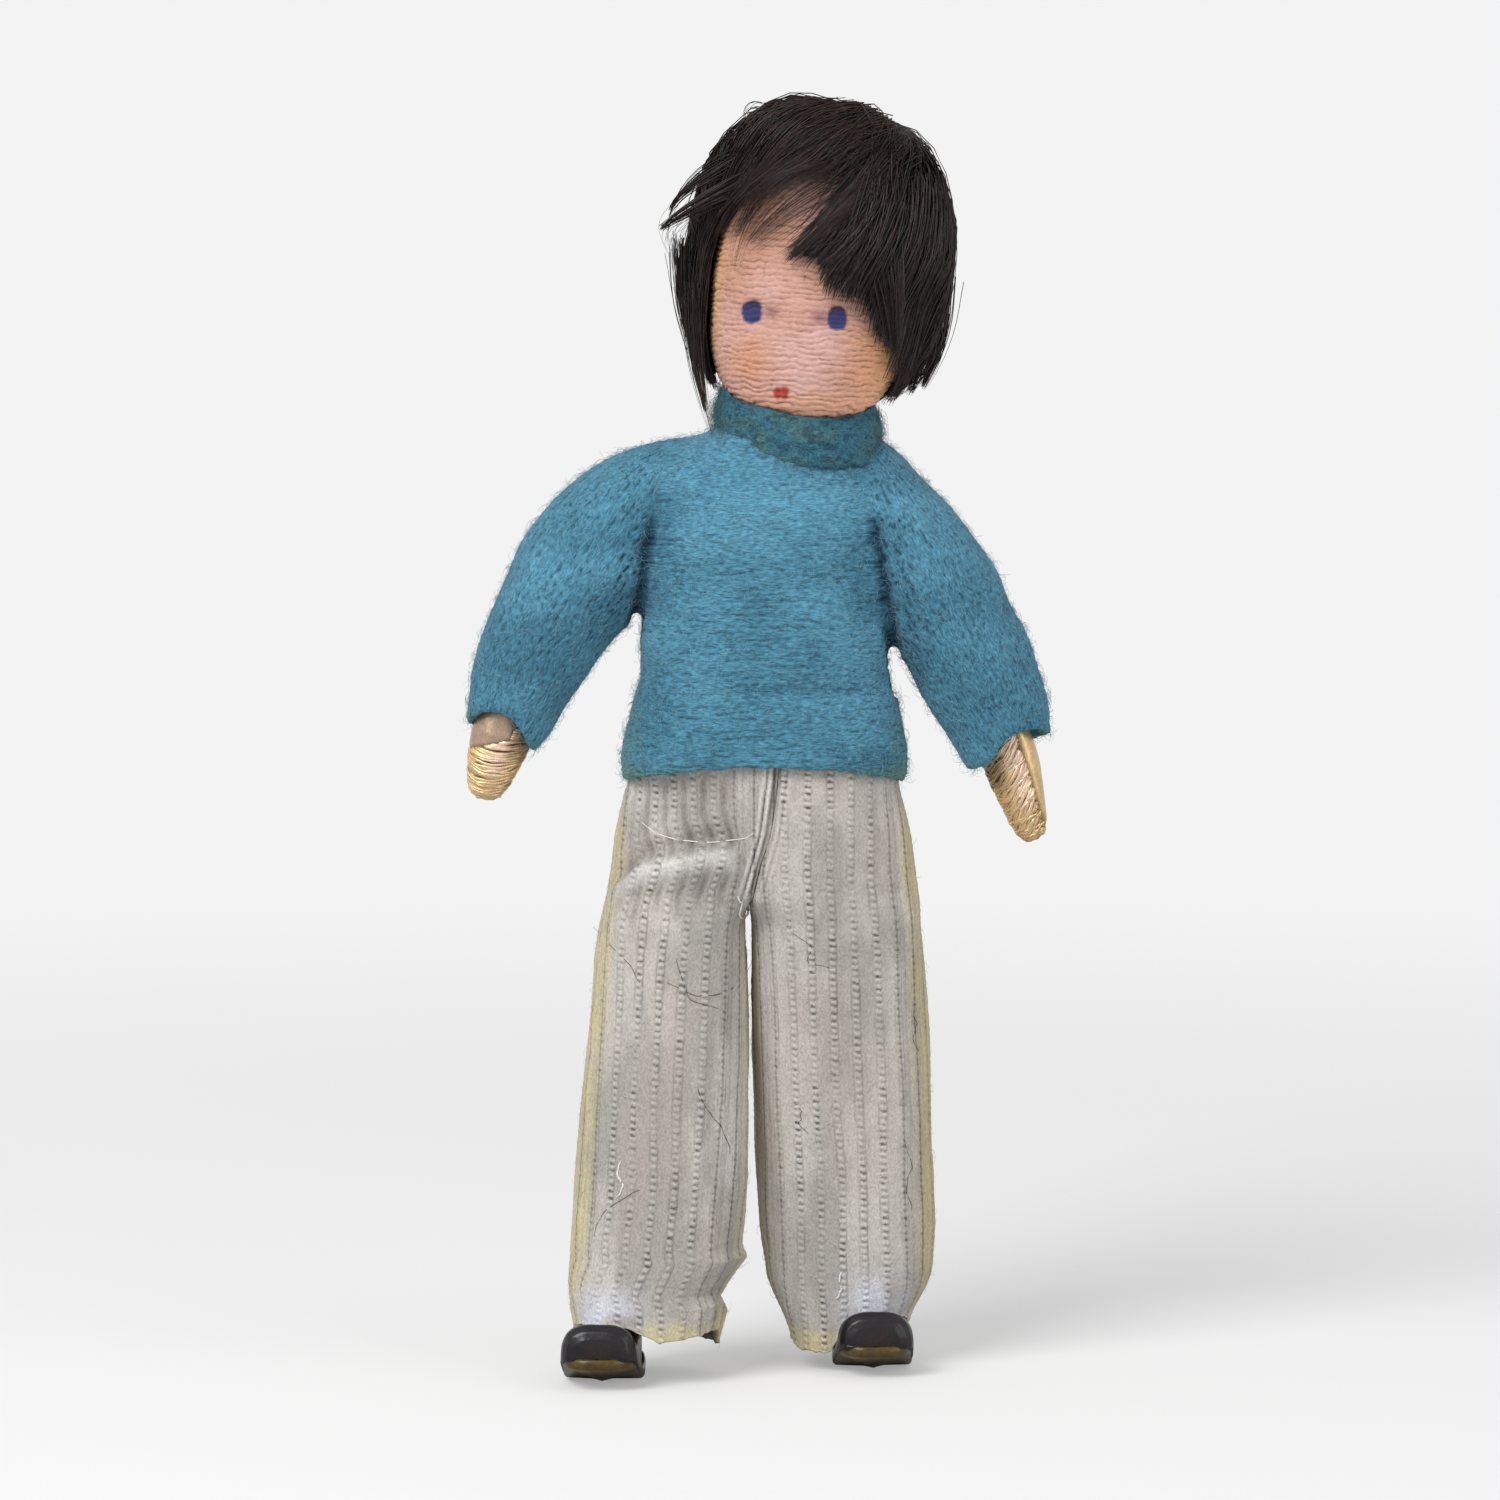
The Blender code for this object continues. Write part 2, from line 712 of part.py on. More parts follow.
def build_shoe(side, ankle, foot):
    """A toe-capped shoe on its sole and heel, with the wire's foot in it."""
    turn = Matrix.Rotation(SIDES[side] * math.radians(TOE_OUT_DEGREES[side]), 4, "Z")
    place = Matrix.Translation((ankle.x, ankle.y, 0)) @ turn
    pieces = (
        ("shoe_upper", upper_rings(), "shoe_leather"),
        ("shoe_sole", sole_rings(), "sole_leather"),
        ("shoe_heel", heel_rings(), "sole_leather"),
    )
    made = {}
    for name, rings, stuff in pieces:
        mesh = bar_loft(rings)
        bmesh.ops.transform(mesh, matrix=place, verts=mesh.verts)
        made[name] = carry(object_of(f"{name}_{side}", mesh, parts), foot, stuff)
    height = sole_lift(1) + SOLE_THICKNESS + FOOT_WIRE_RISE
    turned = Vector((ankle.x, ankle.y, height))
    toe_end = place @ Vector((0, shoe_y(FOOT_WIRE_SHARE), height))
    forward = (toe_end - turned).normalized() * WIRE_RADIUS
    bent = [turned + Z * WIRE_RADIUS, turned + forward, toe_end]
    wire(f"foot_wire_{side}", [ankle - Z * WIRE_BREAK, *bent], foot)
    subtract(made["shoe_upper"], channel(f"foot_channel_{side}", [ankle, *bent]))


# Arms


def limb_direction(side, degrees):
    angle = math.radians(degrees)
    return Vector((SIDES[side] * math.sin(angle), 0, -math.cos(angle)))


def arm_section(centre, along, half, deep_share):
    """An outline square to a limb that runs outward and down from the shoulder."""
    return section(centre, half, half * deep_share, FRONT.cross(along), FRONT)


def arm_points(side):
    shoulder = shoulders[side]
    elbow = shoulder + limb_direction(side, UPPER_ARM_DEGREES[side]) * UPPER_ARM
    wrist = elbow + limb_direction(side, FOREARM_DEGREES[side]) * FOREARM
    return shoulder, elbow, wrist


def sleeve_outlines(side):
    """Outlines of a sleeve from just outside the shoulder to the cuff."""
    shoulder, elbow, wrist = arm_points(side)
    length = UPPER_ARM + FOREARM - SLEEVE_START
    outlines = []
    for share, radius in SLEEVE_SHARES:
        run = SLEEVE_START + share * length
        degrees = mixed(UPPER_ARM_DEGREES[side], FOREARM_DEGREES[side], smooth(share))
        if run < UPPER_ARM:
            centre = shoulder + (elbow - shoulder) * (run / UPPER_ARM)
        else:
            centre = elbow + (wrist - elbow) * ((run - UPPER_ARM) / FOREARM)
        along = limb_direction(side, degrees)
        outlines.append(arm_section(centre, along, radius * SLEEVE_RADIUS[side], SLEEVE_DEPTH_SHARE))
    return outlines


def shoulder_fold_outlines(side, sleeve_end):
    """The loose cloth that joins the armhole to the sleeve, fullest on top of the shoulder."""
    shoulder = shoulders[side]
    inner_x = CHEST_X + SIDES[side] * (CHEST_HALF_WIDTH - ARMHOLE_INSET[side] + CLEARANCE)
    below = ARMPIT_DROP[side] - CLEARANCE
    half_height = (SHOULDER_RISE + below) / 2
    centre = Vector((inner_x, 0, shoulder.z - below + half_height))
    first = section(centre, half_height, SHOULDER_FOLD_HALF_DEPTH, FRONT.cross(X * SIDES[side]), FRONT)
    middle_along = (X * SIDES[side] + limb_direction(side, UPPER_ARM_DEGREES[side])).normalized()
    middle = mixed(centre, sleeve_end[0], 0.5)
    bulge = SHOULDER_FOLD_BULGE_SHARE * SLEEVE_RADIUS[side]
    second = arm_section(middle, middle_along, bulge, SLEEVE_DEPTH_SHARE)
    return [first, second, sleeve_end]


def build_arm(side):
    shoulder, elbow, wrist = arm_points(side)
    swing = pivot(f"shoulder_{side}_joint", shoulder, torso)
    upper = pivot(f"upper_arm_{side}_joint", shoulder, swing)
    lower = pivot(f"forearm_{side}_joint", elbow, upper)
    hand = pivot(f"hand_{side}_joint", wrist, lower)
    outlines = sleeve_outlines(side)
    knit = (SWEATER_WALL, "sweater_knit")
    start = (outlines[0][0], limb_direction(side, UPPER_ARM_DEGREES[side]))
    bend_along = -limb_direction(side, (UPPER_ARM_DEGREES[side] + FOREARM_DEGREES[side]) / 2)
    elbow_share = (UPPER_ARM - SLEEVE_START) / (UPPER_ARM + FOREARM - SLEEVE_START)
    reach = SLEEVE_RADIUS[side] * row_at(SLEEVE_SHARES, elbow_share)[0] * SLEEVE_DEPTH_SHARE
    above, below = bend_planes(elbow, bend_along, ((FRONT, reach, ELBOW_RANGE),))
    wrist_along = -limb_direction(side, FOREARM_DEGREES[side])
    cuff_reach = SLEEVE_RADIUS[side] * SLEEVE_SHARES[-1][1]
    cuff = bend_planes(wrist, wrist_along, ((FRONT, cuff_reach, WRIST_RANGE),))[0]

    fold = shoulder_fold_outlines(side, outlines[0])
    cloth(f"shoulder_fold_{side}", fold, [behind(start)], *knit, swing)
    upper_in = stretch(shoulder, elbow, before=WIRE_BREAK)
    wire(f"upper_arm_wire_{side}", upper_in, upper)
    cloth(f"upper_sleeve_{side}", outlines, [above], *knit, upper)
    hollow = [channel(f"upper_arm_channel_{side}", upper_in)]
    wadding(f"upper_arm_wadding_{side}", outlines, [above], SWEATER_WALL, hollow, upper)

    cloth(f"elbow_fold_{side}", outlines, [behind(above), behind(below)], *knit, lower)
    lower_in = stretch(elbow, wrist, before=WIRE_BREAK)
    wire(f"forearm_wire_{side}", lower_in, lower)
    cloth(f"lower_sleeve_{side}", outlines, [below, cuff], *knit, lower)
    hollow = [channel(f"forearm_channel_{side}", lower_in)]
    end = beyond(cuff, SWEATER_WALL)
    wadding(f"forearm_wadding_{side}", outlines, [below, end], SWEATER_WALL, hollow, lower)
    build_hand(side, wrist, hand)


# Hands


def build_hand(side, wrist, hand):
    """A padded loop of wire with thread wound round it from the cuff to the fingertips."""
    along = limb_direction(side, HAND_DEGREES[side])
    outer = HAND_CORE_RADIUS + CLEARANCE + 2 * THREAD_RADIUS
    start = wrist + along * (outer * math.tan(math.radians(WRIST_RANGE[0] / 2)) + CLEARANCE)
    length = HAND_LENGTH[side]
    outlines = [
        arm_section(start + along * (share * length), along, radius * HAND_CORE_RADIUS, HAND_DEPTH_SHARE)
        for share, radius in HAND_SHARES
    ]
    core = carry(
        object_of(f"hand_core_{side}", loft(outlines, LIMB_SIDES, solid=True), parts), hand, "wadding"
    )
    inner_wire = [wrist + along * WIRE_BREAK, start + along * (length * HAND_SHARES[-2][0])]
    wire(f"hand_wire_{side}", inner_wire, hand)
    subtract(core, channel(f"hand_channel_{side}", [wrist, inner_wire[1]]))

    points = winding_points(side, start, along, length)
    winding = curve_of(f"hand_winding_{side}", points, THREAD_RADIUS, THREAD_BEVEL_RESOLUTION, parts)
    carry(winding, hand, "hand_thread")
    gap = least_gap(points)
    print(f"hand_winding_{side}: least gap to itself {gap * 1000:.3f} mm, over {LEAST_THREAD_GAP * 1000} mm")


def winding_points(side, start, along, length):
    """An unbroken thread that follows the hand's taper, with a straight end as long as it is thick."""
    turns = int(length / THREAD_PITCH)
    steps = turns * POINTS_PER_TURN
    across = FRONT.cross(along)
    lift = CLEARANCE + THREAD_RADIUS
    points = []
    for step in range(steps + 1):
        angle = 2 * math.pi * step / POINTS_PER_TURN
        run = THREAD_RADIUS + step / POINTS_PER_TURN * THREAD_PITCH
        radius = row_at(HAND_SHARES, min(run / length, 1))[0] * HAND_CORE_RADIUS
        wide = (radius + lift) / math.cos(math.pi / POINTS_PER_TURN)
        deep = (radius * HAND_DEPTH_SHARE + lift) / math.cos(math.pi / POINTS_PER_TURN)
        points.append(
            start + along * run + across * (wide * math.cos(angle)) + FRONT * (deep * math.sin(angle))
        )
    tail = (points[-1] - points[-2]).normalized() * 2 * THREAD_RADIUS
    head = (points[0] - points[1]).normalized() * 2 * THREAD_RADIUS
    return [points[0] + head, *points, points[-1] + tail]


def least_gap(points):
    """The least clear distance between two turns of the thread."""
    apart = POINTS_PER_TURN // 2
    return min(
        (one - other).length - 2 * THREAD_RADIUS
        for index, one in enumerate(points)
        for other in points[index + apart :]
    )


# Head


def egg(half_width, half_depth, half_height, centre=(0, 0, 0), squareness=HEAD_SQUARENESS):
    """A rounded block, as a sphere whose sections are superellipses, in the head's own frame."""
    mesh = bmesh.new()
    bmesh.ops.create_uvsphere(mesh, u_segments=BODY_SIDES, v_segments=HEAD_RINGS, radius=1)
    power = 2 / squareness
    for vert in mesh.verts:
        flat = math.hypot(vert.co.x, vert.co.y)
        height = math.copysign(abs(vert.co.z) ** power, vert.co.z)
        out = flat**power / flat if flat > WELD else 0
        shaped = Vector((vert.co.x * out * half_width, vert.co.y * out * half_depth, height * half_height))
        vert.co = shaped + Vector(centre)
    return mesh


def place_on_head(mesh):
    bmesh.ops.transform(mesh, matrix=head_frame, verts=mesh.verts)
    return mesh


def head_size(grow):
    return [size + grow for size in (HEAD_HALF_WIDTH, HEAD_HALF_DEPTH, HEAD_HALF_HEIGHT)]


def build_head():
    """Neck, padded core, crepe skin and hair."""
    along = (head_centre - neck).normalized()
    opening = Vector((0, 0, -NECK_OPENING_SHARE * HEAD_HALF_HEIGHT))

    neck_in = [neck + along * WIRE_BREAK, mixed(neck, head_centre, NECK_WIRE_SHARE)]
    wire("neck_wire", neck_in, neck_body)
    neck_top = head_centre + along * (opening.z - CLEARANCE)
    neck_base = neck + along * WIRE_BREAK
    frame = (along.cross(FRONT), FRONT)
    outlines = [section(place, NECK_RADIUS, NECK_RADIUS, *frame) for place in (neck_base, neck_top)]
    winding = carry(
        object_of("neck_wrap", loft(outlines, LIMB_SIDES, solid=True), parts), neck_body, "wadding"
    )
    subtract(winding, channel("neck_channel", [neck, neck_in[1]]))

    skin = egg(*head_size(0))
    keep_beyond(skin, (opening, Z), solid=False)
    piece = carry(object_of("head_skin", place_on_head(skin), parts), head, "crepe_skin")
    wall = piece.modifiers.new("wall", "SOLIDIFY")
    wall.thickness = SKIN_WALL
    wall.offset = -1

    core = egg(*head_size(-SKIN_WALL - CLEARANCE))
    keep_beyond(core, (opening, Z), solid=True)
    piece = carry(object_of("head_core", place_on_head(core), parts), head, "wadding")
    subtract(piece, channel("head_channel", [neck, neck_in[1] + along * NECK_BORE_SPARE]))
    build_hair()


def build_hair():
    """The wig: a thick cap over the crown, the back and the sides, open at the face."""
    size = (HAIR_HALF_WIDTH, HAIR_HALF_DEPTH, HAIR_HALF_HEIGHT)
    wig = egg(*size, centre=(0, HAIR_BACK, HAIR_RISE), squareness=HAIR_SQUARENESS)
    keep_beyond(wig, (Vector((0, 0, -HAIR_DROP)), Z), solid=True)
    piece = carry(object_of("hair", place_on_head(wig), parts), head, "hair")
    scalp = place_on_head(egg(*head_size(CLEARANCE)))
    opening = egg(*FACE_OPENING, squareness=2.0)
    tilt = Matrix.Rotation(math.radians(FACE_OPENING_TILT_DEGREES), 4, "Y")
    bmesh.ops.transform(opening, matrix=Matrix.Translation(FACE_OPENING_PLACE) @ tilt, verts=opening.verts)
    place_on_head(opening)
    cuts = (("scalp", scalp), ("face_opening", opening))
    subtract(piece, *[as_cutter(object_of(name, mesh, cutters)) for name, mesh in cuts])


clear_scene()
parts = new_collection("bendy_doll")
cutters = new_collection("cutters")

waist = Vector((BODY_X, 0, WAIST_Z))
neck = Vector((NECK_X, 0, NECK_Z))
hips = {side: Vector((BODY_X + sign * HIP_OUT, 0, HIP_Z)) for side, sign in SIDES.items()}
knees = {side: Vector((KNEE_X[side], ANKLE_Y[side] / 2, KNEE_Z)) for side in SIDES}
ankles = {side: Vector((ANKLE_X[side], ANKLE_Y[side], ANKLE_HEIGHT)) for side in SIDES}
shoulders = {
    side: Vector((CHEST_X + sign * SHOULDER_OUT, 0, NECK_Z - SHOULDER_BELOW_NECK[side]))
    for side, sign in SIDES.items()
}
head_lean = Matrix.Rotation(math.radians(HEAD_LEAN_DEGREES), 4, "Y")
head_centre = neck + head_lean @ (Z * NECK_TO_HEAD)
head_frame = (
    Matrix.Translation(head_centre) @ head_lean @ Matrix.Rotation(math.radians(HEAD_TURN_DEGREES), 4, "Z")
)
waist_planes = bend_planes(waist, Z, ((FRONT, CHEST_HALF_DEPTH, WAIST_RANGE),))

pelvis = pivot("pelvis_body", hips["right"].lerp(hips["left"], 0.5))
torso = pivot("torso_joint", waist, pelvis)
neck_body = pivot("neck_joint", neck, torso)
head = pivot("head_joint", neck, neck_body)

build_body()
build_head()
for each_side in SIDES:
    build_leg(each_side)
    build_arm(each_side)
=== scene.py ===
import math

import bpy
import numpy as np
from mathutils import Matrix, Vector


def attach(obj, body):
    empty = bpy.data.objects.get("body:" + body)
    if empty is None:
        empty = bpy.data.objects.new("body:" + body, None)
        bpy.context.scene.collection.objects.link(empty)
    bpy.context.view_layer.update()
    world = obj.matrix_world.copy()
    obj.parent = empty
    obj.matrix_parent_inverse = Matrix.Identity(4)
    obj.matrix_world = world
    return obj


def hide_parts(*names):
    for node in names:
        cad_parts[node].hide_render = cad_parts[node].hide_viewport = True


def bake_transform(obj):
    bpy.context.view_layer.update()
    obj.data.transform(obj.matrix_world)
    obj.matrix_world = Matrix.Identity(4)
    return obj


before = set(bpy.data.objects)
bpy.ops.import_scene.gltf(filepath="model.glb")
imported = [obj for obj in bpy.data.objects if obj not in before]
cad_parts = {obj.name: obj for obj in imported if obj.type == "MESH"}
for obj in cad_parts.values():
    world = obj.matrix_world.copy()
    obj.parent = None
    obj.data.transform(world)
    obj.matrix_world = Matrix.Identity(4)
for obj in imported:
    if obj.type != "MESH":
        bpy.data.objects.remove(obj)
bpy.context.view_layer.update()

# Units and sides
MM = 0.001
SIDES = {"right": -1, "left": 1}

# Places of the joints in millimetres, as in the CAD model
ANKLE = {"right": np.array((-12.4, -3.5, 6.3)), "left": np.array((9.5, 3.5, 6.3))}
SHOULDER = {"right": np.array((-11.0, 0.0, 79.6)), "left": np.array((12.2, 0.0, 78.7))}
ELBOW = {"right": np.array((-18.39, 0.0, 70.14)), "left": np.array((18.38, 0.0, 68.41))}
WRIST = {"right": np.array((-24.02, 0.0, 59.55)), "left": np.array((23.64, 0.0, 57.63))}
HAND_DEGREES = {"right": 16, "left": 17}
HAND_LENGTH = {"right": 6.0, "left": 8.0}
HAND_RADIUS = {"right": 2.60, "left": 2.40}
HAND_SHIFT = {"right": -0.25, "left": -0.55}
HEAD_CENTRE = np.array((4.85, 0.0, 101.21))
HEAD_LEAN_DEGREES = 6
HEAD_TURN_DEGREES = -10


# Numbers, noise and shapes

def mix(a, b, t):
    return a + (b - a) * t


def smooth(t):
    t = np.clip(t, 0.0, 1.0)
    return t * t * (3 - 2 * t)


def bump(x, centre, width):
    """1 at the centre, falling to 0 at one width from it."""
    return smooth(1 - np.abs(x - centre) / width)


def unit(vector):
    vector = np.asarray(vector, dtype=float)
    return vector / np.linalg.norm(vector)


def units(vectors):
    """Each vector made 1 long."""
    return vectors / np.maximum(np.linalg.norm(vectors, axis=-1, keepdims=True), 1e-9)


def power(value, exponent):
    """A power that keeps the sign, for outlines squarer than a circle."""
    return np.sign(value) * np.abs(value) ** exponent


def circle(count):
    """Angles that go once round, and their cosines and sines."""
    angles = np.arange(count) * 2 * math.pi / count
    return angles, np.cos(angles), np.sin(angles)


def rows_at(rows, share):
    """The columns after the first of a table, read at a share of the length."""
    table = np.array(rows, dtype=float)
    return [np.interp(share, table[:, 0], table[:, k]) for k in range(1, table.shape[1])]


def length_along(x, y):
    """The length of a line from its start to each of its points."""
    return np.concatenate(((0,), np.cumsum(np.hypot(np.diff(x), np.diff(y)))))


def softened(line, rounds):
    """A line of points with its corners rounded, between ends that stay."""
    for _ in range(rounds):
        line[1:-1] = (line[:-2] + 2 * line[1:-1] + line[2:]) / 4
    return line


def lattice(i, j, k, seed):
    """A fixed value from -1 to 1 for each whole-numbered place."""
    big = np.uint32(0xFFFFFFFF)
    h = (i & big).astype(np.uint32) * np.uint32(374761393)
    h = h + (j & big).astype(np.uint32) * np.uint32(668265263)
    h = h + (k & big).astype(np.uint32) * np.uint32(2246822519)
    h = h + np.uint32(seed * 3266489917 & 0xFFFFFFFF)
    h = (h ^ (h >> np.uint32(13))) * np.uint32(1274126177)
    h = (h ^ (h >> np.uint32(15))) * np.uint32(2246822519)
    h = h ^ (h >> np.uint32(16))
    return h.astype(np.float64) / 2147483648.0 - 1.0


def noise(points, size, seed):
    """Smooth noise from -1 to 1 with a grain of this size along each axis."""
    place = np.asarray(points, dtype=float) / np.asarray(size, dtype=float)
    base = np.floor(place)
    part = place - base
    part = part * part * (3 - 2 * part)
    base = base.astype(np.int64)
    total = np.zeros(len(place))
    for corner in range(8):
        step = (corner & 1, (corner >> 1) & 1, corner >> 2)
        weight = np.ones(len(place))
        for axis in range(3):
            weight = weight * (part[:, axis] if step[axis] else 1 - part[:, axis])
        total += weight * lattice(base[:, 0] + step[0], base[:, 1] + step[1], base[:, 2] + step[2], seed)
    return total


def noise_at(x, y, size, seed):
    """Noise of two flat coordinates."""
    x, y = np.broadcast_arrays(x, y)
    flat = np.stack([x.ravel(), y.ravel(), np.zeros(x.size)], axis=1)
    return noise(flat, (size[0], size[1], 1.0), seed).reshape(x.shape)


def turn(axis, degrees):
    return np.array(Matrix.Rotation(math.radians(degrees), 3, axis))


def down_arm(side, degrees):
    """The direction of an arm that leans outward by this angle."""
    lean = math.radians(degrees)
    return np.array((SIDES[side] * math.sin(lean), 0, -math.cos(lean)))


HEAD_AXES = turn("Y", HEAD_LEAN_DEGREES) @ turn("Z", HEAD_TURN_DEGREES)


def from_head(points):
    """Places in the head's own frame, in the doll's frame."""
    return np.asarray(points) @ HEAD_AXES.T + HEAD_CENTRE


def superellipse_radius(cosine, sine, half_width, half_depth, squareness):
    """Distance from the centre to the outline in that direction."""
    a = np.abs(cosine / half_width) ** squareness
    b = np.abs(sine / half_depth) ** squareness
    return (a + b) ** (-1.0 / squareness)


# The head's radius, its half height and how square its profile is
SKIN = (9.5, 12.4, 2.7)
JAW_SQUARENESS = 3.9


def skin_power(x, y, z):
    """How square the head's profile is: fuller at the front below the middle."""
    forward = smooth(-y / np.maximum(np.hypot(x, y), 0.01)) * smooth(-z / 5.0)
    return mix(SKIN[2], JAW_SQUARENESS, forward)


def skin_size(points):
    """1 on the head's surface, more outside it."""
    x, y, z = points[..., 0], points[..., 1], points[..., 2]
    squareness = skin_power(x, y, z)
    flat = np.hypot(x, y) / SKIN[0]
    return (flat ** squareness + np.abs(z / SKIN[1]) ** squareness) ** (1 / squareness)


# Meshes

def grid_faces(rows, columns, closed=True):
    """Quads of a grid of points, numbered row by row."""
    across = columns if closed else columns - 1
    r, c = np.meshgrid(np.arange(rows - 1), np.arange(across), indexing="ij")
    this, following = r * columns, (c + 1) % columns
    above = this + columns
    return np.stack([this + c, this + following, above + following, above + c], axis=-1).reshape(-1, 4)


def vertex_normals(points, faces):
    a = points[faces[:, 2]] - points[faces[:, 0]]
    b = points[faces[:, -1]] - points[faces[:, 1]]
    face_normals = np.cross(a, b)
    total = np.zeros_like(points)
    for corner in range(faces.shape[1]):
        for axis in range(3):
            total[:, axis] += np.bincount(faces[:, corner], face_normals[:, axis], len(points))
    length = np.linalg.norm(total, axis=1)
    length[length == 0] = 1
    return total / length[:, None]


def facing_out(points, faces, centre):
    """The faces turned so that their normals point away from the centre, and the normals."""
    normals = vertex_normals(points, faces)
    if np.sum(normals * (points - centre)) < 0:
        return faces[:, ::-1], -normals
    return faces, normals


def joined(parts):
    """Points, faces and colours of several meshes as one mesh."""
    starts = np.cumsum([0] + [len(part[0]) for part in parts[:-1]])
    points = np.concatenate([part[0] for part in parts])
    faces = np.concatenate([part[1] + start for part, start in zip(parts, starts)])
    return points, faces, np.concatenate([part[-1] for part in parts])


def new_piece(name, points, faces, material, colour=None, normals=None):
    """A smooth mesh piece from points in millimetres, with a painted colour at each point."""
    mesh = bpy.data.meshes.new(name)
    sides = faces.shape[1]
    mesh.vertices.add(len(points))
    mesh.vertices.foreach_set("co", (points * MM).astype(np.float32).ravel())
    mesh.loops.add(faces.size)
    mesh.loops.foreach_set("vertex_index", faces.astype(np.int32).ravel())
    mesh.polygons.add(len(faces))
    mesh.polygons.foreach_set("loop_start", np.arange(0, faces.size, sides, dtype=np.int32))
    mesh.update(calc_edges=True)
    mesh.polygons.foreach_set("use_smooth", np.ones(len(faces), dtype=bool))
    if colour is not None:
        layer = mesh.color_attributes.new("Col", "FLOAT_COLOR", "POINT")
        rgba = np.ones((len(points), 4), dtype=np.float32)
        rgba[:, :3] = np.clip(colour, 0.0, 1.0)
        layer.data.foreach_set("color", rgba.ravel())
    if normals is not None:
        mesh.normals_split_custom_set_from_vertices(normals.astype(np.float32))
    mesh.materials.append(material)
    piece = bpy.data.objects.new(name, mesh)
    bpy.context.scene.collection.objects.link(piece)
    return piece


def tubes(paths, radii, sides=3):
    """Points and faces of many tubes: paths is (count, steps, 3), radii is (count, steps)."""
    count, steps, _ = paths.shape
    along = units(np.gradient(paths, axis=1))
    helper = np.where(np.abs(along[..., 2:3]) < 0.8, (0.0, 0.0, 1.0), (0.0, 1.0, 0.0))
    across = units(np.cross(along, helper))
    other = np.cross(along, across)
    _, cosine, sine = circle(sides)
    ring = across[:, :, None, :] * cosine[:, None] + other[:, :, None, :] * sine[:, None]
    points = paths[:, :, None, :] + ring * radii[:, :, None, None]
    start = (np.arange(count) * steps * sides)[:, None]
    faces = (grid_faces(steps, sides)[None] + start[:, :, None]).reshape(-1, 4)
    return points.reshape(-1, 3), faces


def spread(values, steps, sides):
    """One value for each tube, repeated for all of its points."""
    return np.repeat(values, steps * sides, axis=0)


# Materials

def over(colour, coat, amount, most=1):
    """The colours with a coat of paint over them, by an amount from 0 to 1 at each point."""
    return mix(colour, coat, np.clip(amount, 0, most)[:, None])


def paint(red, green, blue):
    """A colour given in screen values, as the linear values that shaders use."""
    value = np.array((red, green, blue), dtype=float) / 255
    return np.where(value <= 0.04045, value / 12.92, ((value + 0.055) / 1.055) ** 2.4)


GLOSS = {
    "metallic": "Metallic",
    "specular": "Specular IOR Level",
    "coat": "Coat Weight",
    "coat_roughness": "Coat Roughness",
    "sheen": "Sheen Weight",
    "sheen_roughness": "Sheen Roughness",
}


def node(tree, kind, sockets=(), **settings):
    """A new shader node. sockets gives the value of each input, or the output that it is linked to."""
    made = tree.nodes.new("ShaderNode" + kind)
    for name, value in settings.items():
        setattr(made, name, value)
    for name, value in dict(sockets).items():
        if isinstance(value, bpy.types.NodeSocket):
            tree.links.new(value, made.inputs[name])
        else:
            made.inputs[name].default_value = value
    return made


def plain_material(name, roughness, **gloss):
    material = bpy.data.materials.new(name)
    material.use_nodes = True
    shader = material.node_tree.nodes["Principled BSDF"]
    shader.inputs["Roughness"].default_value = roughness
    for key, value in gloss.items():
        shader.inputs[GLOSS[key]].default_value = value
    return material, shader


def grained(name, roughness, size, dark, light, depth, stretch=(1, 1, 1), lean=0, colour=None, **gloss):
    """A material with fine noise in its colour and in a bump. size and depth are in millimetres.

    stretch draws the grain out along each axis, after a turn of lean degrees about Y. The colour is the
    one painted on the mesh's points, if none is given.
    """
    material, shader = plain_material(name, roughness, **gloss)
    tree = material.node_tree
    sockets = {"Vector": node(tree, "TexCoord").outputs["Object"], "Scale": stretch}
    sockets["Rotation"] = (0, math.radians(lean), 0)
    scale = node(tree, "Mapping", sockets, vector_type="TEXTURE").outputs["Vector"]
    grain = node(tree, "TexNoise", {"Vector": scale, "Scale": 1 / (size * MM), "Detail": 3}).outputs["Fac"]
    span = {"Value": grain, "From Min": 0.3, "From Max": 0.7, "To Min": dark, "To Max": light}
    level = node(tree, "MapRange", span).outputs["Result"]
    if colour is None:
        colour = node(tree, "VertexColor", layer_name="Col").outputs["Color"]
    tint = node(tree, "VectorMath", {0: colour, "Scale": level}, operation="SCALE")
    relief = node(tree, "Bump", {"Height": grain, "Strength": 1.0, "Distance": depth * MM})
    tree.links.new(tint.outputs["Vector"], shader.inputs["Base Color"])
    tree.links.new(relief.outputs["Normal"], shader.inputs["Normal"])
    return material


def cloth(name, roughness, size, dark, light, depth, sheen, stretch, lean=0):
    soft = {"specular": 0.25, "sheen": sheen, "sheen_roughness": 0.45}
    return grained(name, roughness, size, dark, light, depth, stretch, lean, **soft)


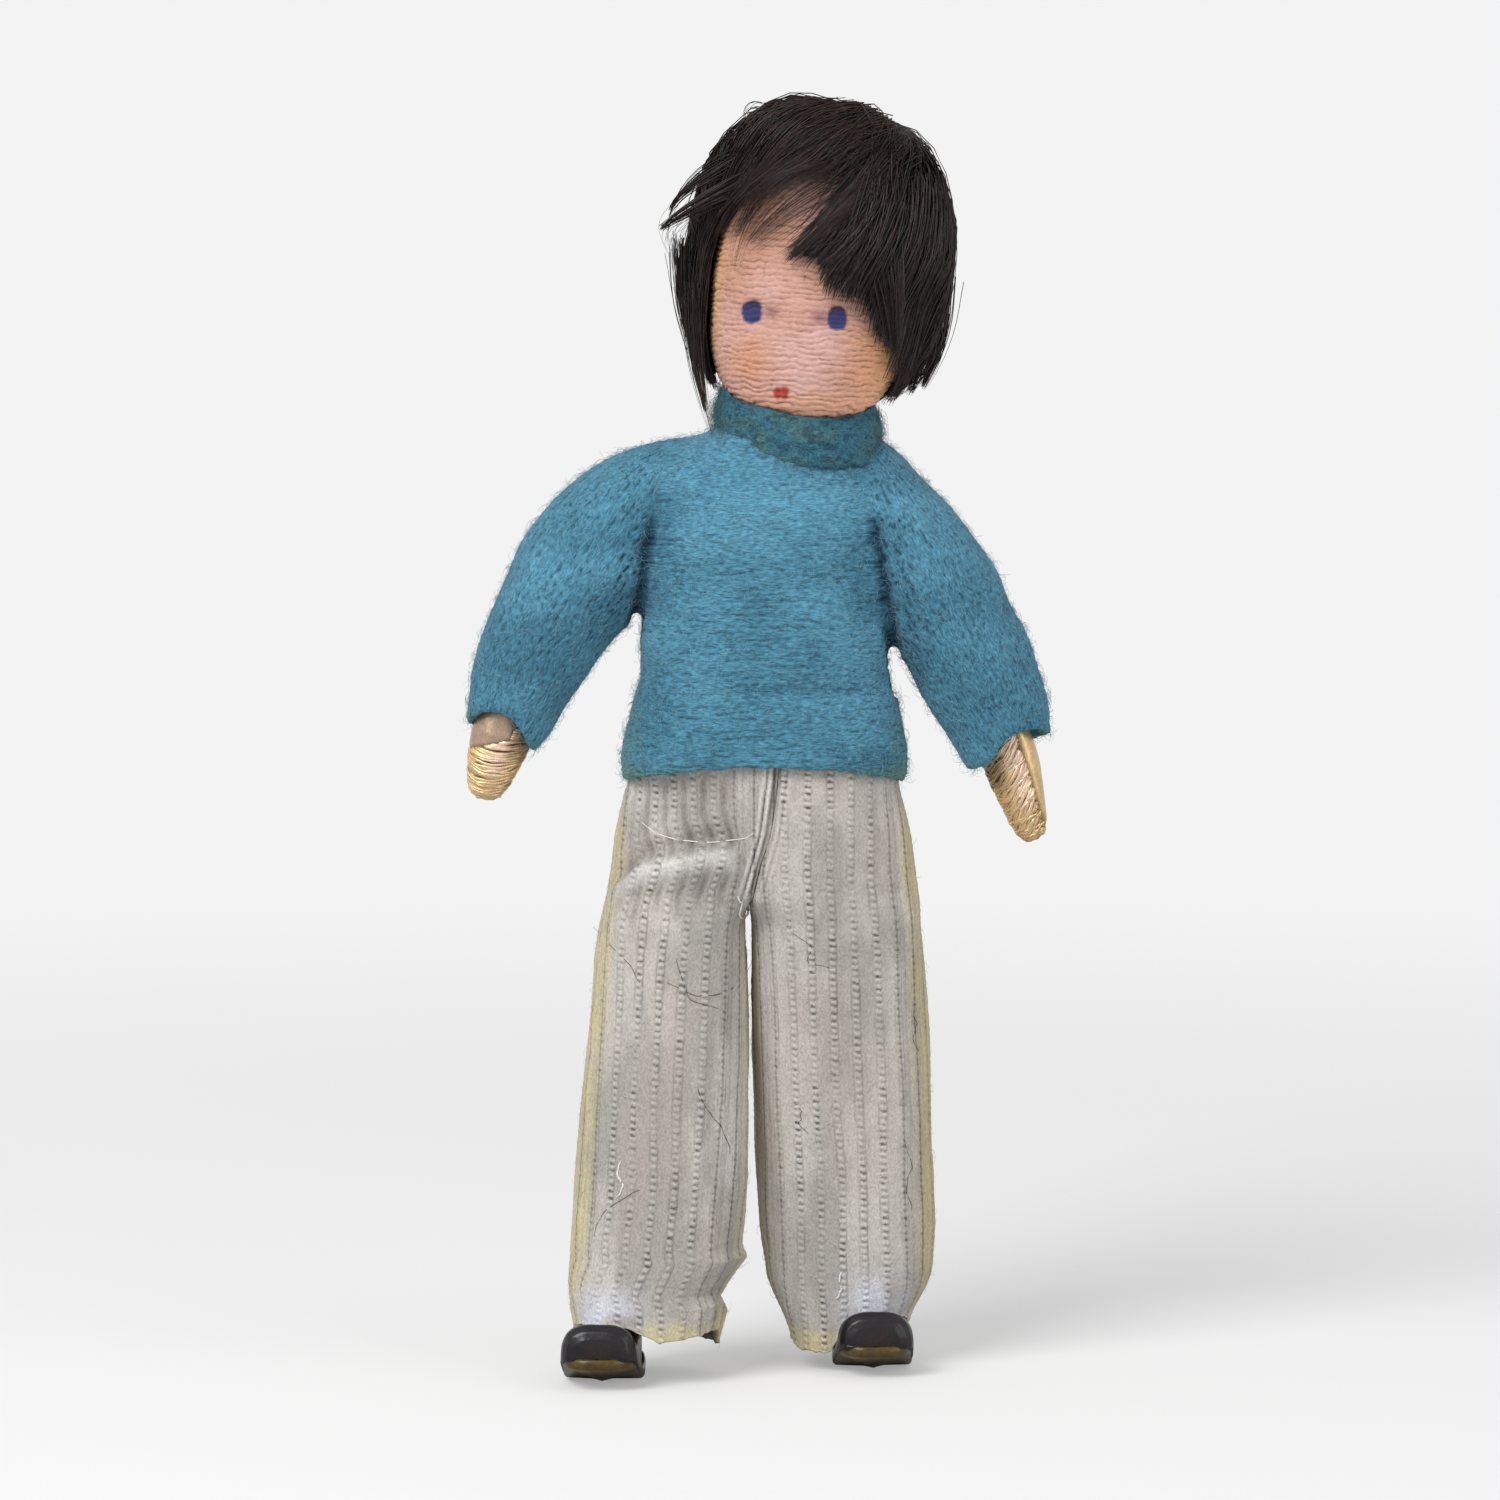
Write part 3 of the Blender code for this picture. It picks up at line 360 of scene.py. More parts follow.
WOOL = cloth("blue_wool", 0.95, 0.13, 0.52, 1.42, 0.10, 0.12, (4.5, 2.5, 1))
WOOL_SLEEVES = {
    side: cloth(f"blue_wool_{side}", 0.95, 0.13, 0.52, 1.42, 0.10, 0.12, (1, 1, 4), lean)
    for side, lean in (("right", 33), ("left", -28))
}
WOOL_COLLAR = cloth("blue_wool_collar", 0.95, 0.16, 0.60, 1.40, 0.12, 0.15, (1.6, 1.6, 1))
KNIT = cloth("pale_knit", 0.92, 0.17, 0.78, 1.14, 0.06, 0.08, (1, 1, 1.6))
CREPE = cloth("crepe", 0.72, 0.16, 0.86, 1.10, 0.03, 0.05, (2.5, 2.5, 1))
HAIR = grained("dark_hair", 0.42, 0.5, 0.7, 1.3, 0.0, specular=0.35)
HAIR_FELT = grained("dark_felt", 0.95, 0.15, 0.6, 1.4, 0.05, specular=0.08)
SHINY = {"metallic": 0.45, "specular": 0.6, "coat": 0.35, "coat_roughness": 0.15}
THREAD = grained("hand_thread", 0.30, 0.10, 0.75, 1.2, 0.02, (1, 1, 3), **SHINY)
POLISH = {"specular": 0.22, "coat": 0.22, "coat_roughness": 0.12}
LEATHER = grained("glossy_leather", 0.30, 0.35, 0.8, 1.25, 0.02, **POLISH)
STEEL_GREY = (0.42, 0.40, 0.37)
STEEL = grained("steel_wire", 0.35, 0.3, 0.85, 1.1, 0.01, colour=STEEL_GREY, metallic=1.0)


# Camera, light and floor

PHOTO_SCALE = 0.093
PHOTO_WIDTH = 1500
CAMERA_DISTANCE = 600.0
CAMERA_ELEVATION = 4.5
LOOK_AT = np.array((-1.1, 0.0, 58.2))
BACKGROUND = 0.896
SKY_LIGHT = 0.46
FLOOR_GREY = 0.62
FLOOR_GLOW = 0.31
FLOOR_HALF = 40.0
FADE_START = 0.10
FADE_END = 0.45


def place_camera():
    data = bpy.data.cameras.new("camera")
    data.sensor_width = 36
    data.lens = data.sensor_width * CAMERA_DISTANCE / (PHOTO_WIDTH * PHOTO_SCALE)
    data.clip_start = 0.01
    camera = bpy.data.objects.new("camera", data)
    bpy.context.scene.collection.objects.link(camera)
    rise = math.radians(CAMERA_ELEVATION)
    back = np.array((0, -math.cos(rise), math.sin(rise))) * CAMERA_DISTANCE
    camera.location = (LOOK_AT + back) * MM
    camera.rotation_euler = (math.pi / 2 - rise, 0, 0)
    bpy.context.scene.camera = camera


def area_light(name, place, size, watts):
    data = bpy.data.lights.new(name, "AREA")
    data.size = size
    data.energy = watts
    light = bpy.data.objects.new(name, data)
    light.location = place
    aim = Vector((0, 0, 0.06)) - light.location
    light.rotation_euler = aim.to_track_quat("-Z", "Y").to_euler()
    bpy.context.scene.collection.objects.link(light)


def make_world():
    """Even light on the doll, and the pale background where the world itself is seen."""
    world = bpy.data.worlds.new("world")
    bpy.context.scene.world = world
    world.use_nodes = True
    tree = world.node_tree
    tree.nodes.clear()
    white = (1, 1, 1, 1)
    soft = node(tree, "Background", {"Color": white, "Strength": SKY_LIGHT}).outputs[0]
    seen = node(tree, "Background", {"Color": white, "Strength": BACKGROUND}).outputs[0]
    path = node(tree, "LightPath").outputs
    either = {0: path["Is Camera Ray"], 1: path["Is Glossy Ray"]}
    either = node(tree, "Math", either, operation="MAXIMUM").outputs[0]
    any_of = {0: either, 1: path["Is Transmission Ray"]}
    any_of = node(tree, "Math", any_of, operation="MAXIMUM").outputs[0]
    blend = node(tree, "MixShader", {0: any_of, 1: soft, 2: seen}).outputs[0]
    node(tree, "OutputWorld", {"Surface": blend})


def make_floor():
    """A pale floor that keeps the doll's shadow and fades into the background with distance."""
    half = FLOOR_HALF
    corners = np.array(((-half, -half, 0), (half, -half, 0), (half, half, 0), (-half, half, 0))) / MM
    material, shader = plain_material("floor", 0.9, specular=0.0)
    shader.inputs["Base Color"].default_value = (FLOOR_GREY, FLOOR_GREY, FLOOR_GREY, 1)
    tree = material.node_tree
    place = node(tree, "NewGeometry").outputs["Position"]
    length = node(tree, "VectorMath", {0: place}, operation="LENGTH").outputs["Value"]
    span = {"Value": length, "From Min": FADE_START, "From Max": FADE_END}
    fade = node(tree, "MapRange", span, interpolation_type="SMOOTHSTEP").outputs["Result"]
    far = node(tree, "Emission", {"Strength": BACKGROUND}).outputs[0]
    seen = node(tree, "LightPath").outputs["Is Camera Ray"]
    glow = node(tree, "Math", {0: seen, 1: FLOOR_GLOW}, operation="MULTIPLY").outputs[0]
    lift = node(tree, "Emission", {"Strength": glow}).outputs[0]
    near = node(tree, "AddShader", {0: shader.outputs[0], 1: lift}).outputs[0]
    both = node(tree, "MixShader", {0: fade, 1: near, 2: far}).outputs[0]
    tree.links.new(both, tree.nodes["Material Output"].inputs["Surface"])
    new_piece("floor", corners, np.array(((0, 1, 2, 3),)), material)


bpy.context.scene.view_settings.view_transform = "Standard"
place_camera()
make_world()
make_floor()
area_light("key", (-0.42, -0.55, 0.60), 0.45, 5.9)
area_light("fill", (0.65, -0.45, 0.25), 0.6, 1.7)


# Sweater shape

# Height of the hem, height of the body above it, and the body's half width and half depth
HEM_Z = 55.1
BODY_HEIGHT = 30.4
BODY_HALF = (11.7, 7.4)
BODY_X = 0.4
SWEATER_SHARES = (
    (0.000, 1.130, 1.070),
    (0.100, 1.140, 1.090),
    (0.220, 1.070, 1.060),
    (0.285, 1.035, 1.020),
    (0.320, 0.990, 0.970),
    (0.355, 1.000, 1.000),
    (0.500, 0.990, 1.000),
    (0.760, 1.010, 1.000),
    (0.920, 0.990, 0.950),
    (1.000, 0.860, 0.900),
    (1.050, 0.700, 0.875),
)
# Outer edge, inner edge and half depth of a sleeve, from inside the body to the cuff
SLEEVE_EDGES = {
    "right": (
        ((-5.0, 87.6), (-5.0, 73.5), 4.6),
        ((-9.4, 87.0), (-9.8, 71.8), 5.9),
        ((-12.9, 85.9), (-11.4, 70.7), 6.2),
        ((-16.5, 84.0), (-12.7, 69.7), 6.1),
        ((-19.5, 81.3), (-14.1, 68.4), 5.8),
        ((-22.6, 77.0), (-15.8, 66.0), 5.4),
        ((-24.7, 72.4), (-17.3, 63.6), 5.0),
        ((-26.3, 68.2), (-18.7, 61.6), 4.6),
        ((-27.2, 64.2), (-19.9, 59.7), 4.2),
        ((-27.6, 60.9), (-20.8, 58.3), 3.8),
    ),
    "left": (
        ((7.0, 88.0), (7.0, 71.5), 4.6),
        ((10.2, 87.4), (10.4, 69.6), 5.9),
        ((13.0, 85.6), (11.7, 68.3), 6.2),
        ((16.0, 82.4), (12.6, 67.2), 6.1),
        ((18.9, 79.3), (13.4, 66.0), 5.8),
        ((21.2, 75.8), (14.4, 64.2), 5.4),
        ((23.1, 72.0), (15.5, 62.3), 5.0),
        ((24.9, 68.2), (16.8, 60.2), 4.7),
        ((26.2, 64.0), (18.1, 58.2), 4.3),
        ((27.0, 59.9), (19.1, 56.5), 3.9),
    ),
}
UPPER_DEGREES = {"right": 38, "left": 31}
FORE_DEGREES = {"right": 28, "left": 26}
RING = 72
CUFF_RISE = {"right": 2.3, "left": 1.5}
CUFF_SKEW = {"right": -0.15, "left": -0.35}
VOXEL = 0.28


def ring(centre, half_width, half_depth, squareness=2.0, across=(1, 0, 0)):
    _, cosine, sine = circle(RING)
    x = power(cosine, 2 / squareness) * half_width
    y = power(sine, 2 / squareness) * half_depth
    return np.asarray(centre) + np.outer(x, across) + np.outer(y, (0, -1, 0))


def closed_loft(rings):
    """A closed solid of triangles through the rings, with a flat cap at each end."""
    points = np.concatenate(rings)
    quads = grid_faces(len(rings), RING)
    faces = [quads[:, (0, 1, 2)], quads[:, (0, 2, 3)]]
    for row, flip in ((0, 1), (len(rings) - 1, -1)):
        middle = len(points)
        points = np.concatenate((points, rings[row].mean(axis=0, keepdims=True)))
        edge = row * RING + np.arange(RING)
        cap = np.stack([np.full(RING, middle), np.roll(edge, -1), edge], axis=1)
        faces.append(cap[:, ::flip])
    return points, np.concatenate(faces)


def body_solid():
    """The sweater's body with a pocket at the hem, which the trousers go up into."""
    def level(z, grow):
        share = (z - HEM_Z) / BODY_HEIGHT
        width, depth = rows_at(SWEATER_SHARES, share)
        x = mix(0.2, 0.6, share) if share < 1 else mix(0.6, 3.2, (share - 1) * 8)
        loop = ring((x, 0, z), width * BODY_HALF[0] + grow, depth * BODY_HALF[1] + grow, 2.5)
        sag = 1.7 * (1 - np.abs((loop[:, 0] - x) / (width * BODY_HALF[0])) ** 2)
        loop[:, 2] += sag * np.where(loop[:, 1] < 0, 1.0, 0.5) * (1 - smooth((z - HEM_Z) / 8))
        return loop
    pocket = ((59.5, -1.3), (57.0, -1.0), (55.9, -0.95), (55.25, -0.5), (55.5, -0.1))
    loops = [level(z, grow) for z, grow in pocket]
    loops += [level(z, 0.0) for z in np.arange(56.2, 87.2, 0.8)]
    loops.append(ring((3.2, 0, 88.6), 6.6, 5.5, 2.5))
    return closed_loft(loops)


def arm_axis(side, run):
    """Point and direction on the arm at this distance from the shoulder."""
    share = (run - 5.5) / 18.5
    along = down_arm(side, mix(UPPER_DEGREES[side], FORE_DEGREES[side], float(smooth(share))))
    if run < 12:
        return mix(SHOULDER[side], ELBOW[side], run / 12), along
    return mix(ELBOW[side], WRIST[side], (run - 12) / 12), along


def smooth_rows(rows, count):
    """The rows of a table, read at more places along a smooth curve."""
    rows = np.asarray(rows, dtype=float)
    padded = np.concatenate((2 * rows[:1] - rows[1:2], rows, 2 * rows[-1:] - rows[-2:-1]))
    at = np.linspace(0, len(rows) - 1, count)
    base = np.minimum(np.floor(at).astype(int), len(rows) - 2)
    t = (at - base)[:, None]
    a, b, c, d = (padded[base + k] for k in range(4))
    square = (2 * a - 5 * b + 4 * c - d) * t ** 2
    cube = (3 * b - a - 3 * c + d) * t ** 3
    return 0.5 * (2 * b + (c - a) * t + square + cube)


def sleeve_solid(side):
    """A sleeve that starts inside the body, with a pocket at the cuff for the hand."""
    flat = [(*outer, *inner, depth) for outer, inner, depth in SLEEVE_EDGES[side]]
    table = smooth_rows(flat, 40)

    def section(row, shrink, shift):
        outer = np.array((row[0], 0, row[1]))
        inner = np.array((row[2], 0, row[3]))
        across = unit(outer - inner)
        along = np.cross(across, (0, SIDES[side], 0))
        half = np.linalg.norm(outer - inner) / 2 - shrink
        return ring((outer + inner) / 2 + along * shift, half, row[4] - shrink, 2.1, across * SIDES[side])

    loops = [section(row, 0.0, 0.0) for row in table]
    last = table[-1]
    outer, inner = np.array((last[0], 0, last[1])), np.array((last[2], 0, last[3]))
    middle, across = (outer + inner) / 2, unit(outer - inner)
    along = np.cross(across, (0, SIDES[side], 0))
    towards = 1 if along[2] < 0 else -1
    pocket = ((0.35, 0.35), (0.85, 0.1), (1.15, -4.5))
    loops += [section(last, shrink, towards * shift) for shrink, shift in pocket]
    points, faces = closed_loft(loops)
    along = along * towards
    relative = points - middle
    lateral = np.clip(relative @ across / 3.4 + CUFF_SKEW[side], -1, 1)
    near = smooth(1 + (relative @ along) / 6.0)
    front = smooth((-points[:, 1] + 0.6) / 3.0)
    points = points - along * (CUFF_RISE[side] * (1 - lateral ** 2) * near * front)[:, None]
    return points, faces


def evaluated_mesh(points, faces, modifier_type, **settings):
    """Points and quads of the mesh after one modifier."""
    mesh = bpy.data.meshes.new("work")
    mesh.from_pydata((points * MM).tolist(), [], faces.tolist())
    piece = bpy.data.objects.new("work", mesh)
    bpy.context.scene.collection.objects.link(piece)
    modifier = piece.modifiers.new("work", modifier_type)
    for key, value in settings.items():
        setattr(modifier, key, value)
    result = bpy.data.meshes.new_from_object(piece.evaluated_get(bpy.context.evaluated_depsgraph_get()))
    places = np.empty(len(result.vertices) * 3, dtype=np.float32)
    result.vertices.foreach_get("co", places)
    corners = np.empty(len(result.loops), dtype=np.int32)
    result.loops.foreach_get("vertex_index", corners)
    if len(corners) != 4 * len(result.polygons):
        raise SystemExit("The sweater's mesh isn't all quads.")
    bpy.data.objects.remove(piece)
    bpy.data.meshes.remove(mesh)
    bpy.data.meshes.remove(result)
    return places.reshape(-1, 3).astype(float) / MM, corners.reshape(-1, 4).astype(np.int64)


def relax(points, faces, weight, rounds):
    """Moves each point towards the middle of its neighbours."""
    a = faces.ravel()
    b = np.roll(faces, -1, axis=1).ravel()
    ends = np.concatenate((a, b))
    others = np.concatenate((b, a))
    count = np.maximum(np.bincount(ends, minlength=len(points)), 1)
    for _ in range(rounds):
        mean = np.stack([np.bincount(ends, points[others, k], len(points)) for k in range(3)], axis=1)
        points = points + (mean / count[:, None] - points) * weight[:, None]
    return points


def sweater_mesh():
    points, faces, _ = joined([body_solid(), sleeve_solid("right"), sleeve_solid("left")])
    points, faces = evaluated_mesh(points, faces, "REMESH", mode="VOXEL", voxel_size=VOXEL * MM)
    points = relax(points, faces, np.full(len(points), 0.5), 6)
    top = smooth((points[:, 2] - 75.0) / 5.0) * 0.5
    points = relax(points, faces, top, 30)
    return evaluated_mesh(points, faces, "SUBSURF", levels=1)


# Sweater surface

LIGHT_WOOL = paint(88, 146, 172)
MID_WOOL = paint(64, 115, 138)
DARK_WOOL = paint(16, 50, 72)
GREEN_WOOL = paint(88, 122, 112)
ROW_PITCH = 0.58
COLUMN_PITCH = 0.62
SHOULDER_PLANE = {"right": np.array((-11.5, 0.0, 71.0)), "left": np.array((12.1, 0.0, 68.3))}
SHOULDER_BANDS = {"right": (1.0, 1.1), "left": (0.8, 0.9)}
ELBOW_BAND = {"right": (12.2, 15.6), "left": (14.4, 17.6)}


def outward(side):
    return np.array((SIDES[side] * 0.986, 0.0, 0.164))


def past_shoulder(points, side):
    """Distance past the plane where the sleeve begins, below 0 on the body."""
    distance = (points - SHOULDER_PLANE[side]) @ outward(side)
    beside_hem = (points[:, 2] < 63.0) & (SIDES[side] * points[:, 0] < 14.6)
    return np.where(beside_hem, -1.0, distance)


def elbow_direction(side):
    return down_arm(side, (UPPER_DEGREES[side] + FORE_DEGREES[side]) / 2)


def dashes(along, across, pitch, length, seed):
    """Short dark marks in rows for the knit's stitches, painted shade in the gaps between the loops: across
    is measured over the rows and along runs with them.
    """
    shifted = across + 0.28 * noise_at(along, across, (3.2, 5.0), seed)
    row = np.floor(shifted / pitch)
    part = shifted / pitch - row
    height = 0.5 + 0.20 * noise_at(along, row, (0.7, 1.0), seed + 1)
    mark = smooth((noise_at(along, row * 3.7, (length, 1.0), seed + 2) + 0.25) / 0.75)
    return smooth(1 - np.abs(part - height) / 0.33) * mark


def dress_sweater(points, normals):
    """Moves the sweater's surface along its normals for stitches and folds, and paints it."""
    x, y, z = points.T
    around = np.arctan2(y / BODY_HALF[1], (x - BODY_X) / BODY_HALF[0]) * 9.8
    body_marks = dashes(around, z, ROW_PITCH, 0.65, 11)
    calm = smooth((z - 74.0) / 7.0) * smooth((10.5 - np.abs(x - 0.5)) / 4.0)
    body_marks = body_marks * (1 - 0.62 * calm)
    marks = body_marks
    seam = np.zeros(len(points))
    shade = np.zeros(len(points))
    sleeve = np.zeros(len(points))
    for side, sign in SIDES.items():
        inside = past_shoulder(points, side)
        weight = smooth((inside + 0.2) / 0.7)
        direction = elbow_direction(side)
        relative = points - SHOULDER[side]
        run = relative @ direction
        lifted = relative @ np.cross(direction, (0, sign, 0))
        turned = np.arctan2(y / 5.2, lifted / 5.6) * 5.4
        turned = turned + 0.4 * noise_at(run, turned, (4.0, 4.0), 31)
        arm_marks = dashes(run, turned, COLUMN_PITCH, 0.38, 41)
        near_body = 0.85 + 0.45 * smooth(1 - inside / 5.0)
        marks = mix(marks, arm_marks * near_body, weight)
        sleeve = np.maximum(sleeve, weight)
        low = smooth((82.0 - z) / 4.0)
        ragged = 0.25 * noise(points, (1.0, 1.0, 0.7), 33)
        seam = np.maximum(seam, bump(inside + ragged, 0.0, 0.95) * low)
        shade = np.maximum(shade, smooth(1 - np.abs(inside - 1.2) / 3.0) * low * (inside > -0.8))
    lumps = noise(points, (5.0, 5.0, 3.0), 3)
    fuzz = noise(points, (0.45, 0.45, 0.32), 4)
    fine = noise(points, (0.22, 0.22, 0.18), 5)
    crease_z = 64.3 + 0.25 * noise_at(x, x * 0, (4.0, 1.0), 6)
    crease = bump(z, crease_z, 0.75) * smooth((x + 4.0) / 4.0) * smooth((11.0 - x) / 3.0)
    crease = crease * (y < 0) * (1 - sleeve)
    height = 0.18 * lumps + 0.06 * fuzz + 0.03 * fine - 0.12 * marks - 0.62 * seam - 0.30 * crease
    # Darker in the stitch gaps, the armhole seam's groove, the belly crease and beside the armhole, all
    # painted shade; fine adds random dark tone.
    dark = (0.50 + 0.16 * sleeve) * marks + 0.80 * seam + 0.22 * shade + 0.40 * crease + 0.20 * fine - 0.04
    # Lighter where the lumps stand out, a painted highlight, with random tone from fuzz and a lighter,
    # calmer upper chest.
    light = 0.5 + 0.55 * lumps + 0.30 * fuzz + 0.35 * calm
    hem_edge = smooth((57.6 - z) / 1.6) * (1 - sleeve)
    # Greener toward the body's sides: a painted reflection of a green-yellow surround.
    green_side_reflection = smooth((np.abs(x - BODY_X) - 10.6) / 2.6) * (1 - sleeve)
    cuff = np.zeros(len(points))
    for side in SIDES:
        _, along = arm_axis(side, 24.0)
        cuff = np.maximum(cuff, smooth(((points - WRIST[side]) @ along + 1.6) / 1.4) * sleeve)
    green = 0.75 * np.maximum(hem_edge, cuff) + 0.42 * green_side_reflection + 0.18 * fuzz
    colour = over(MID_WOOL, LIGHT_WOOL, light)
    colour = over(colour, GREEN_WOOL, green, 0.9)
    colour = over(colour, DARK_WOOL, dark)
    return points + normals * height[:, None], colour


FIBRE_STEPS = 5
FIBRE_RADIUS = (0.012, 0.024)


def fibres(roots, normals, length, seed):
    """Short curved fibres that lie over the cloth."""
    rng = np.random.default_rng(seed)
    count = len(roots)
    flat = rng.normal(size=(count, 3))
    flat = units(flat - normals * np.sum(flat * normals, axis=1, keepdims=True))
    sideways = np.cross(flat, normals)
    lengths = rng.uniform(*length, count)
    rise = rng.uniform(0.10, 0.42, count)
    curl = rng.uniform(-0.5, 0.5, count)
    steps = np.linspace(0, 1, FIBRE_STEPS)
    reach = lengths[:, None] * steps
    up = lengths[:, None] * rise[:, None] * np.sin(steps * math.pi * 0.8)[None] - 0.03
    swing = lengths[:, None] * curl[:, None] * steps[None] ** 2
    paths = roots[:, None] + flat[:, None] * reach[..., None] + normals[:, None] * up[..., None]
    paths = paths + sideways[:, None] * swing[..., None]
    taper = (1 - 0.6 * steps)[None] * rng.uniform(*FIBRE_RADIUS, count)[:, None]
    return tubes(paths, taper)


def fuzzy_piece(name, points, faces, chosen, material, colour, normals, coat):
    """The chosen faces as a piece, with fibres of its own colours on it."""
    part = faces[chosen]
    used, index = np.unique(part, return_inverse=True)
    index = index.reshape(part.shape)
    rng = np.random.default_rng(coat["seed"])
    pick = rng.choice(used, min(len(used), int(len(used) * coat["share"])), replace=False)
    fuzz = fibres(points[pick], normals[pick], coat["length"], coat["seed"] + 1)
    tint = mix(colour[pick], coat["colour"], rng.uniform(0.2, 0.8, (len(pick), 1)))
    tint = spread(tint, FIBRE_STEPS, 3)
    all_points, all_faces, all_colour = joined([(points[used], index, colour[used]), (*fuzz, tint)])
    all_normals = np.concatenate((normals[used], vertex_normals(*fuzz)))
    return new_piece(name, all_points, all_faces, material, all_colour, all_normals)


WOOL_COAT = {"share": 0.045, "length": (0.5, 1.6), "colour": paint(136, 190, 206)}


def place(point):
    return tuple(float(value) * MM for value in point)


def make_sweater():
    """The sweater's mesh, cut into pieces where it bends."""
    points, faces = sweater_mesh()
    faces, normals = facing_out(points, faces, points.mean(axis=0))
    points, colour = dress_sweater(points, normals)
    normals = vertex_normals(points, faces)
    centres = points[faces].mean(axis=1)
    # 0 is the body and 1 its hem, with 8 added at the back; 2 to 4 are one sleeve, 5 to 7 the other
    label = np.zeros(len(faces), dtype=int)
    label[centres[:, 2] < 65.0] = 1
    label[centres[:, 1] > 0] += 8
    for number, side in enumerate(SIDES):
        inside = past_shoulder(centres, side)
        run = (centres - SHOULDER[side]) @ elbow_direction(side)
        first, second = SHOULDER_BANDS[side]
        label[inside > 0] = 2 + 3 * number
        label[inside > first] = 3 + 3 * number
        label[(inside > first + second) & (run > ELBOW_BAND[side][0])] = 4 + 3 * number

    def cut(name, number, material=WOOL):
        coat = dict(WOOL_COAT, seed=100 + number)
        piece = fuzzy_piece(name, points, faces, label == number, material, colour, normals, coat)
        return piece

    for part, number in (("front", 0), ("back", 8)):
        body = cut(f"sweater_{part}", number)
        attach(body, "torso")
        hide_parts("sweater_body", "torso_wadding")
        hem = cut(f"sweater_hem_{part}", number + 1)
        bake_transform(hem)
        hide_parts("sweater_waist")
    for number, side in enumerate(SIDES):
        first, second = SHOULDER_BANDS[side]
        fold = cut(f"armhole_{side}", 2 + 3 * number, WOOL_SLEEVES[side])
        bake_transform(fold)
        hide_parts(f"shoulder_fold_{side}")
        upper = cut(f"sleeve_upper_{side}", 3 + 3 * number, WOOL_SLEEVES[side])
        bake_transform(upper)
        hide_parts(f"upper_sleeve_{side}", f"upper_arm_wadding_{side}")
        lower = cut(f"sleeve_lower_{side}", 4 + 3 * number, WOOL_SLEEVES[side])
        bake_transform(lower)
        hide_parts(f"lower_sleeve_{side}", f"forearm_wadding_{side}", f"elbow_fold_{side}")


# Collar

COLLAR_X = 3.3
COLLAR_WOOL = paint(56, 108, 130)
COLLAR_FUZZ = paint(96, 144, 148)


def under_head(x, y):
    """Height of the head's underside above a place, a little inside the skin."""
    spot = np.stack([x, y, np.full(len(x), 93.0)], axis=1)
    for _ in range(12):
        spot[:, 2] += (skin_size((spot - HEAD_CENTRE) @ HEAD_AXES) - 1) * 6.0
    return np.clip(spot[:, 2] - 0.45, 88.3, 91.6)


def make_collar():
    """A soft rolled collar: outside wall, rim and inside wall."""
    count = 420
    _, cosine, sine = circle(count)
    side_x = power(cosine, 2 / 2.3)
    side_y = power(-sine, 2 / 2.3)
    rows = []
    heights = []
    outside = np.linspace(0, 1, 56)
    for step in outside:
        rows.append((step, 0.30 * math.sin(math.pi * step) - 0.15 * (1 - step) ** 3))
        heights.append(0.0)
    for step in np.linspace(0, math.pi, 12)[1:]:
        rows.append((1.0, -0.45 * (1 - math.cos(step))))
        heights.append(0.45 * math.sin(step))
    for step in np.linspace(0, 1, 14)[1:]:
        rows.append((1 - 0.6 * step, -0.9 - 0.2 * step))
        heights.append(0.0)
    points = []
    for (share, out), lift in zip(rows, heights):
        half_width = mix(7.75, 7.25, share) + out
        half_depth = mix(6.75, 6.25, share) + out
        x = COLLAR_X + side_x * half_width
        y = side_y * half_depth
        low = 86.5 + 1.7 * (y / 6.6) - 0.13 * (x - 3.2)
        high = under_head(x, y)
        z = mix(low, high, share) + lift
        points.append(np.stack([x, y, z], axis=1))
    shares = np.repeat(np.array([row[0] for row in rows]), count)
    points = np.concatenate(points)
    faces = grid_faces(len(rows), count)
    faces, normals = facing_out(points, faces, (COLLAR_X, 0, 88))
    x, y, z = points.T
    around = np.arctan2(y, x - COLLAR_X) * 7.0
    marks = dashes(around, z + 0.13 * x - 0.3 * y, 0.78, 0.7, 61) * 0.55
    lumps = noise(points, (2.4, 2.4, 1.6), 62)
    fuzz = noise(points, (0.5, 0.5, 0.4), 63)
    fine = noise(points, (0.2, 0.2, 0.2), 64)
    seam = bump(shares, 0.02, 0.09)
    height = 0.20 * lumps + 0.09 * fuzz + 0.03 * fine - 0.10 * marks - 0.12 * seam
    # Darker in the stitch gaps and where the lumps sink, painted shade in the hollows; fuzz and fine add
    # random tone, and the seam is darker.
    dark = 0.50 * marks + 0.55 * seam + 0.32 * np.maximum(0, -lumps) + 0.22 * fuzz + 0.12 * fine
    patches = 0.12 + 0.6 * noise(points, (1.6, 1.6, 1.2), 65)
    colour = over(COLLAR_WOOL, GREEN_WOOL, patches, 0.6)
    flecks = smooth(noise(points, (0.55, 0.55, 0.30), 66) * 3.0 - 0.2)
    colour = over(colour, DARK_WOOL, 0.55 * flecks)
    colour = over(colour, DARK_WOOL, dark)
    points = points + normals * height[:, None]
    normals = vertex_normals(points, faces)
    coat = dict(WOOL_COAT, seed=140, share=0.10, colour=COLLAR_FUZZ)
    whole = np.ones(len(faces), dtype=bool)
    collar = fuzzy_piece("sweater_collar_roll", points, faces, whole, WOOL_COLLAR, colour, normals, coat)
    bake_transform(collar)
    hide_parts("sweater_collar", "neck_wrap")


make_sweater()
make_collar()


# Trousers

